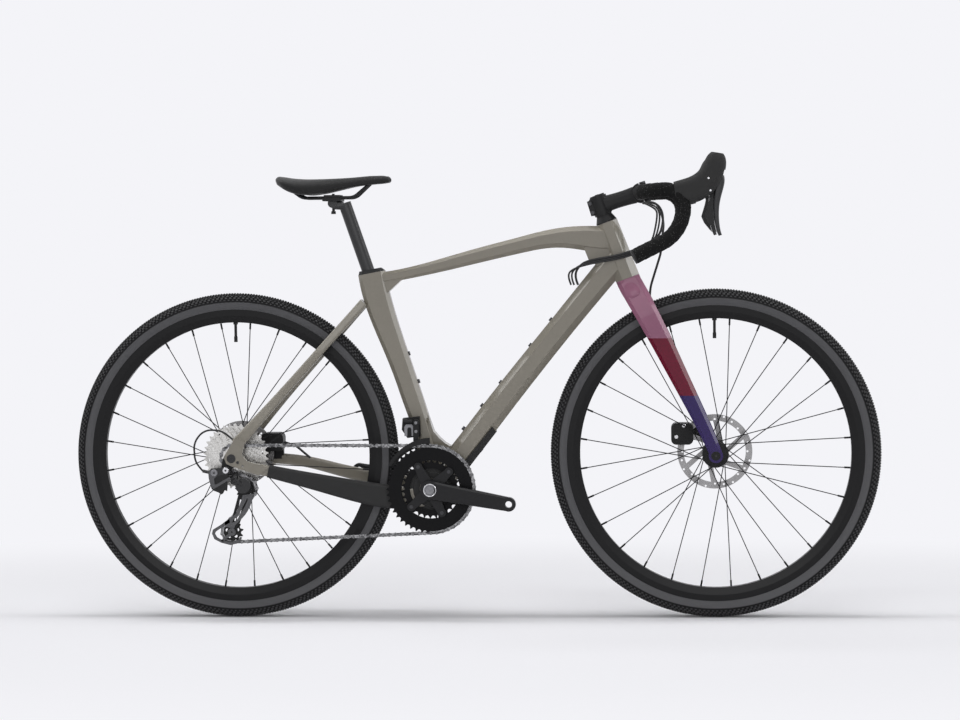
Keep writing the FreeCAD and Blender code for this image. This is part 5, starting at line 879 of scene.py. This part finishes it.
# %% Rear derailleur cage plate
CAGE_Y = (-63.6, -62.2)
ARM_BACK = [(-492.3, 270.8), (-494.2, 264.8), (-496.0, 258.8), (-500.5, 247.7), (-505.0, 236.6),
            (-509.4, 228.9), (-518.1, 222.9), (-527.7, 216.1), (-533.0, 211.9), (-530.5, 202.4)]
SLOT_BACK = [(-480.6, 271.9), (-483.0, 264.7), (-485.7, 258.8), (-491.0, 248.5), (-498.1, 236.6),
             (-500.0, 228.5), (-505.2, 222.9), (-513.9, 217.8), (-516.6, 211.0), (-522.8, 200.7)]
SLOT_FRONT = [(-480.6, 271.9), (-483.0, 264.7), (-481.9, 259.6), (-487.2, 247.7), (-494.3, 235.7),
              (-500.0, 228.5), (-502.7, 222.1), (-508.8, 214.4), (-516.6, 211.0), (-522.8, 200.7)]
ARM_FRONT = [(-469.1, 273.2), (-470.5, 264.7), (-472.4, 258.7), (-476.4, 247.6), (-482.3, 236.2),
             (-487.9, 228.0), (-494.1, 221.2), (-502.8, 212.6), (-509.8, 205.8), (-512.5, 199.0)]
LOOP_OUTSIDE = [(-522.5, 220.4), (-539.9, 207.6), (-558.2, 196.5), (-560.5, 187.9), (-555.2, 175.9),
                (-540.6, 168.2), (-520.1, 163.0), (-501.0, 168.6), (-495.3, 179.3)]
LOOP_INSIDE = [(-520.9, 211.8), (-536.6, 202.4), (-551.9, 192.2), (-553.7, 187.6), (-549.4, 180.2),
               (-538.0, 173.7), (-519.9, 169.4), (-504.4, 173.6), (-499.8, 181.0)]
STRUT = [(-541.4, 173.3), (-532.6, 181.9), (-523.1, 188.2), (-516.9, 183.9), (-528.4, 177.6), (-537.2, 169.9)]
cage_grey = finish("stamped_aluminium_grey", "#4e4e50", "#5c5c5e", 2.5, 0.03, 0.42, Metallic=0.4)
# Material, body and slot of the cage's pieces
RD_CAGE = (cage_grey, "rd_cage", "black_alloy")
strip("rd_cage_arm_back", ARM_BACK, SLOT_BACK, *CAGE_Y, *RD_CAGE)
strip("rd_cage_arm_front", SLOT_FRONT, ARM_FRONT, *CAGE_Y, *RD_CAGE)
strip("rd_cage_loop", LOOP_OUTSIDE, LOOP_INSIDE, *CAGE_Y, *RD_CAGE)
stamped("rd_cage_strut", STRUT, *CAGE_Y, *RD_CAGE)
CAGE_BOLT = [(1.8, -62.4), (1.8, -64.0), (7.6, -64.0), (8.3, -63.4), (8.3, -62.2)]
turned("rd_cage_bolt", pivot["tension_pulley_spin"], CAGE_BOLT, *RD_CAGE)
print("rear derailleur cage plate is in place")

# %% [markdown]
# The rear derailleur's mount has a nylon cover, a grey arm with a ring on it, and a bright ring round
# the bolt that holds it to the frame.

# %% Rear derailleur mount
MOUNT_ARM = [(-561.7, 321.7), (-556.5, 327.6), (-546.2, 328.1), (-542.0, 319.9), (-545.1, 312.2),
             (-550.0, 308.0), (-549.3, 296.1), (-545.9, 295.2), (-517.3, 311.3), (-514.0, 307.5),
             (-542.6, 290.6), (-552.1, 285.0), (-554.6, 289.3), (-560.6, 308.0)]
MOUNT_ARM_Y = (-82.0, -80.4)
stamped("rd_mount_arm", MOUNT_ARM, *MOUNT_ARM_Y, cage_grey, "frame", "black_alloy")
LINK_COVER = [(-562.8, 323.4), (-555.8, 329.4), (-525.4, 330.9), (-520.4, 326.0), (-520.4, 309.4),
              (-521.8, 289.4), (-522.7, 280.8), (-527.9, 282.9), (-531.4, 276.2), (-535.2, 273.7),
              (-541.5, 278.0), (-553.1, 282.4), (-556.5, 286.6), (-561.9, 308.2)]
LINK_COVER_Y = (-80.4, -79.2)
stamped("rd_link_cover", LINK_COVER, *LINK_COVER_Y, nylon, "frame", "black_alloy")
REAR_AXLE = pivot["rear_wheel_spin"]
MOUNT_RING = [(2.8, -80.6), (2.8, -83.2), (6.8, -83.2), (7.5, -82.5), (7.5, -80.6)]
MOUNT_RING_PLACE = REAR_AXLE + Vector((-37, 0, -30)) * MM
turned("rd_mount_ring", MOUNT_RING_PLACE, MOUNT_RING, grey_plate, "frame", "black_alloy")
BOLT_RING = [(2.2, -82.8), (2.2, -84.0), (6.0, -84.0), (6.5, -83.4), (6.5, -80.4)]
BOLT_RING_PLACE = REAR_AXLE + Vector((-12, 0, -25)) * MM
turned("rd_hanger_ring", BOLT_RING_PLACE, BOLT_RING, chrome, "frame", "steel")
print("rear derailleur mount is in place")

# %% [markdown]
# A dark cap closes each axle, a small screw sits beside the rear one, and two bright bolts hold the
# front brake.

# %% Axle caps and brake bolts
AXLE_CAP = [(0.2, -80.8), (2.6, -80.8), (2.8, -81.8), (8.8, -81.8), (9.4, -81.2), (9.4, -79.6)]
turned("rear_axle_cap", REAR_AXLE, AXLE_CAP, grey_anodised, "frame", "black_alloy")
SCREW = [(0.2, -80.1), (1.3, -80.1), (1.4, -80.8), (2.9, -80.8), (3.2, -80.4), (3.2, -79.6)]
SCREW_PLACE = REAR_AXLE + Vector((13.8, 0, -8.4)) * MM
turned("dropout_screw", SCREW_PLACE, SCREW, grey_anodised, "frame", "steel")
FRONT_AXLE = pivot["front_wheel_spin"]
FRONT_CAP = [(0.2, -63.8), (2.6, -63.8), (2.8, -65.0), (9.0, -65.0), (9.8, -64.4), (9.8, -62.8)]
turned("front_axle_cap", FRONT_AXLE, FRONT_CAP, black_anodised, "steering", "black_alloy")
CALIPER_BOLT = [(0.2, 22.3), (1.6, 22.3), (1.7, 21.2), (3.6, 21.2), (4.2, 21.8), (4.2, 23.0)]
CALIPER_BOLT_OFFSETS = [(-66, 0, 57), (-82, 0, 33)]
for i, offset in enumerate(CALIPER_BOLT_OFFSETS):
    spot = FRONT_AXLE + Vector(offset) * MM
    turned(f"front_caliper_bolt_{i}", spot, CALIPER_BOLT, chrome, "steering", "steel")
print("axle caps and caliper bolts are in place")

# %% [markdown]
# The front derailleur's cage is two pressed plates that follow the big chainring, joined by a roof at
# the front and a small bridge at the tail. The outer plate narrows towards its tail. An arm carries
# the cage from the pivot. Strips between two arcs round the crank's axis make the plates.

# %% Front derailleur cage
ARC_STEPS = 16


def arc(start_radius, stop_radius, start, stop):
    """Side-view points round the crank's axis in millimetres, between two angles in degrees."""
    centre_x, centre_z = crank_axis.x / MM, crank_axis.z / MM
    points = []
    for share in np.linspace(0, 1, ARC_STEPS):
        radius = start_radius + (stop_radius - start_radius) * share
        angle = math.radians(start + (stop - start) * share)
        points.append((centre_x + radius * math.cos(angle), centre_z + radius * math.sin(angle)))
    return points


OUTER_Y = (-55.4, -54.2)
INNER_Y = (-45.4, -44.2)
ACROSS_Y = (-54.4, -45.2)
ARM_Y = (-47.0, -44.0)
ARM_HEAD_Y = (-44.0, -34.3)
# The plates end at this angle round the crank, in degrees
TAIL = 149.6
ARM_OUTLINE = [(-127.0, 382.5), (-127.2, 425.0), (-124.0, 428.8), (-118.0, 428.8), (-114.9, 425.0),
               (-114.9, 392.0), (-118.0, 382.5)]
ARM_HEAD = [(-127.2, 419.5), (-127.2, 426.0), (-124.0, 428.8), (-118.0, 428.8), (-114.9, 426.0),
            (-114.9, 419.5)]
# Material, body and slot of the cage's pieces
FD_CAGE = (black_anodised, "fd_cage", "black_alloy")
# Each strip: name, radii of its inner and of its outer line, angles of its ends, left-right limits
CAGE_STRIPS = [("fd_plate_outer", (98.0, 97.8), (110.5, 103.8), 90, TAIL, OUTER_Y),
               ("fd_plate_inner", (93.0, 92.5), (109.5, 104.5), 92, TAIL, INNER_Y),
               ("fd_cage_roof", (107.6, 106.6), (109.2, 108.2), 97, 112, ACROSS_Y),
               ("fd_cage_bridge", (98.4, 98.4), (103.4, 103.4), 148.4, 149.4, ACROSS_Y)]
cage_pieces = [strip(name, arc(*inner, start, stop), arc(*outer, start, stop), *sides, *FD_CAGE)
               for name, inner, outer, start, stop, sides in CAGE_STRIPS]
cage_pieces.append(stamped("fd_arm", ARM_OUTLINE, *ARM_Y, *FD_CAGE))
cage_pieces.append(stamped("fd_arm_head", ARM_HEAD, *ARM_HEAD_Y, *FD_CAGE))
for made in cage_pieces:
    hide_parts("fd_cage")
FD_SCREW = [(0.2, -47.2), (1.3, -47.2), (1.4, -48.0), (2.9, -48.0), (3.4, -47.5), (3.4, -46.8)]
FD_SCREW_PLACES = [(-121.0, 0, 421.5), (-121.0, 0, 403.0)]
for i, spot in enumerate(FD_SCREW_PLACES):
    turned(f"fd_screw_{i}", Vector(spot) * MM, FD_SCREW, grey_plate, "fd_cage", "steel")
print(len(cage_pieces), "pieces of the front derailleur's cage")
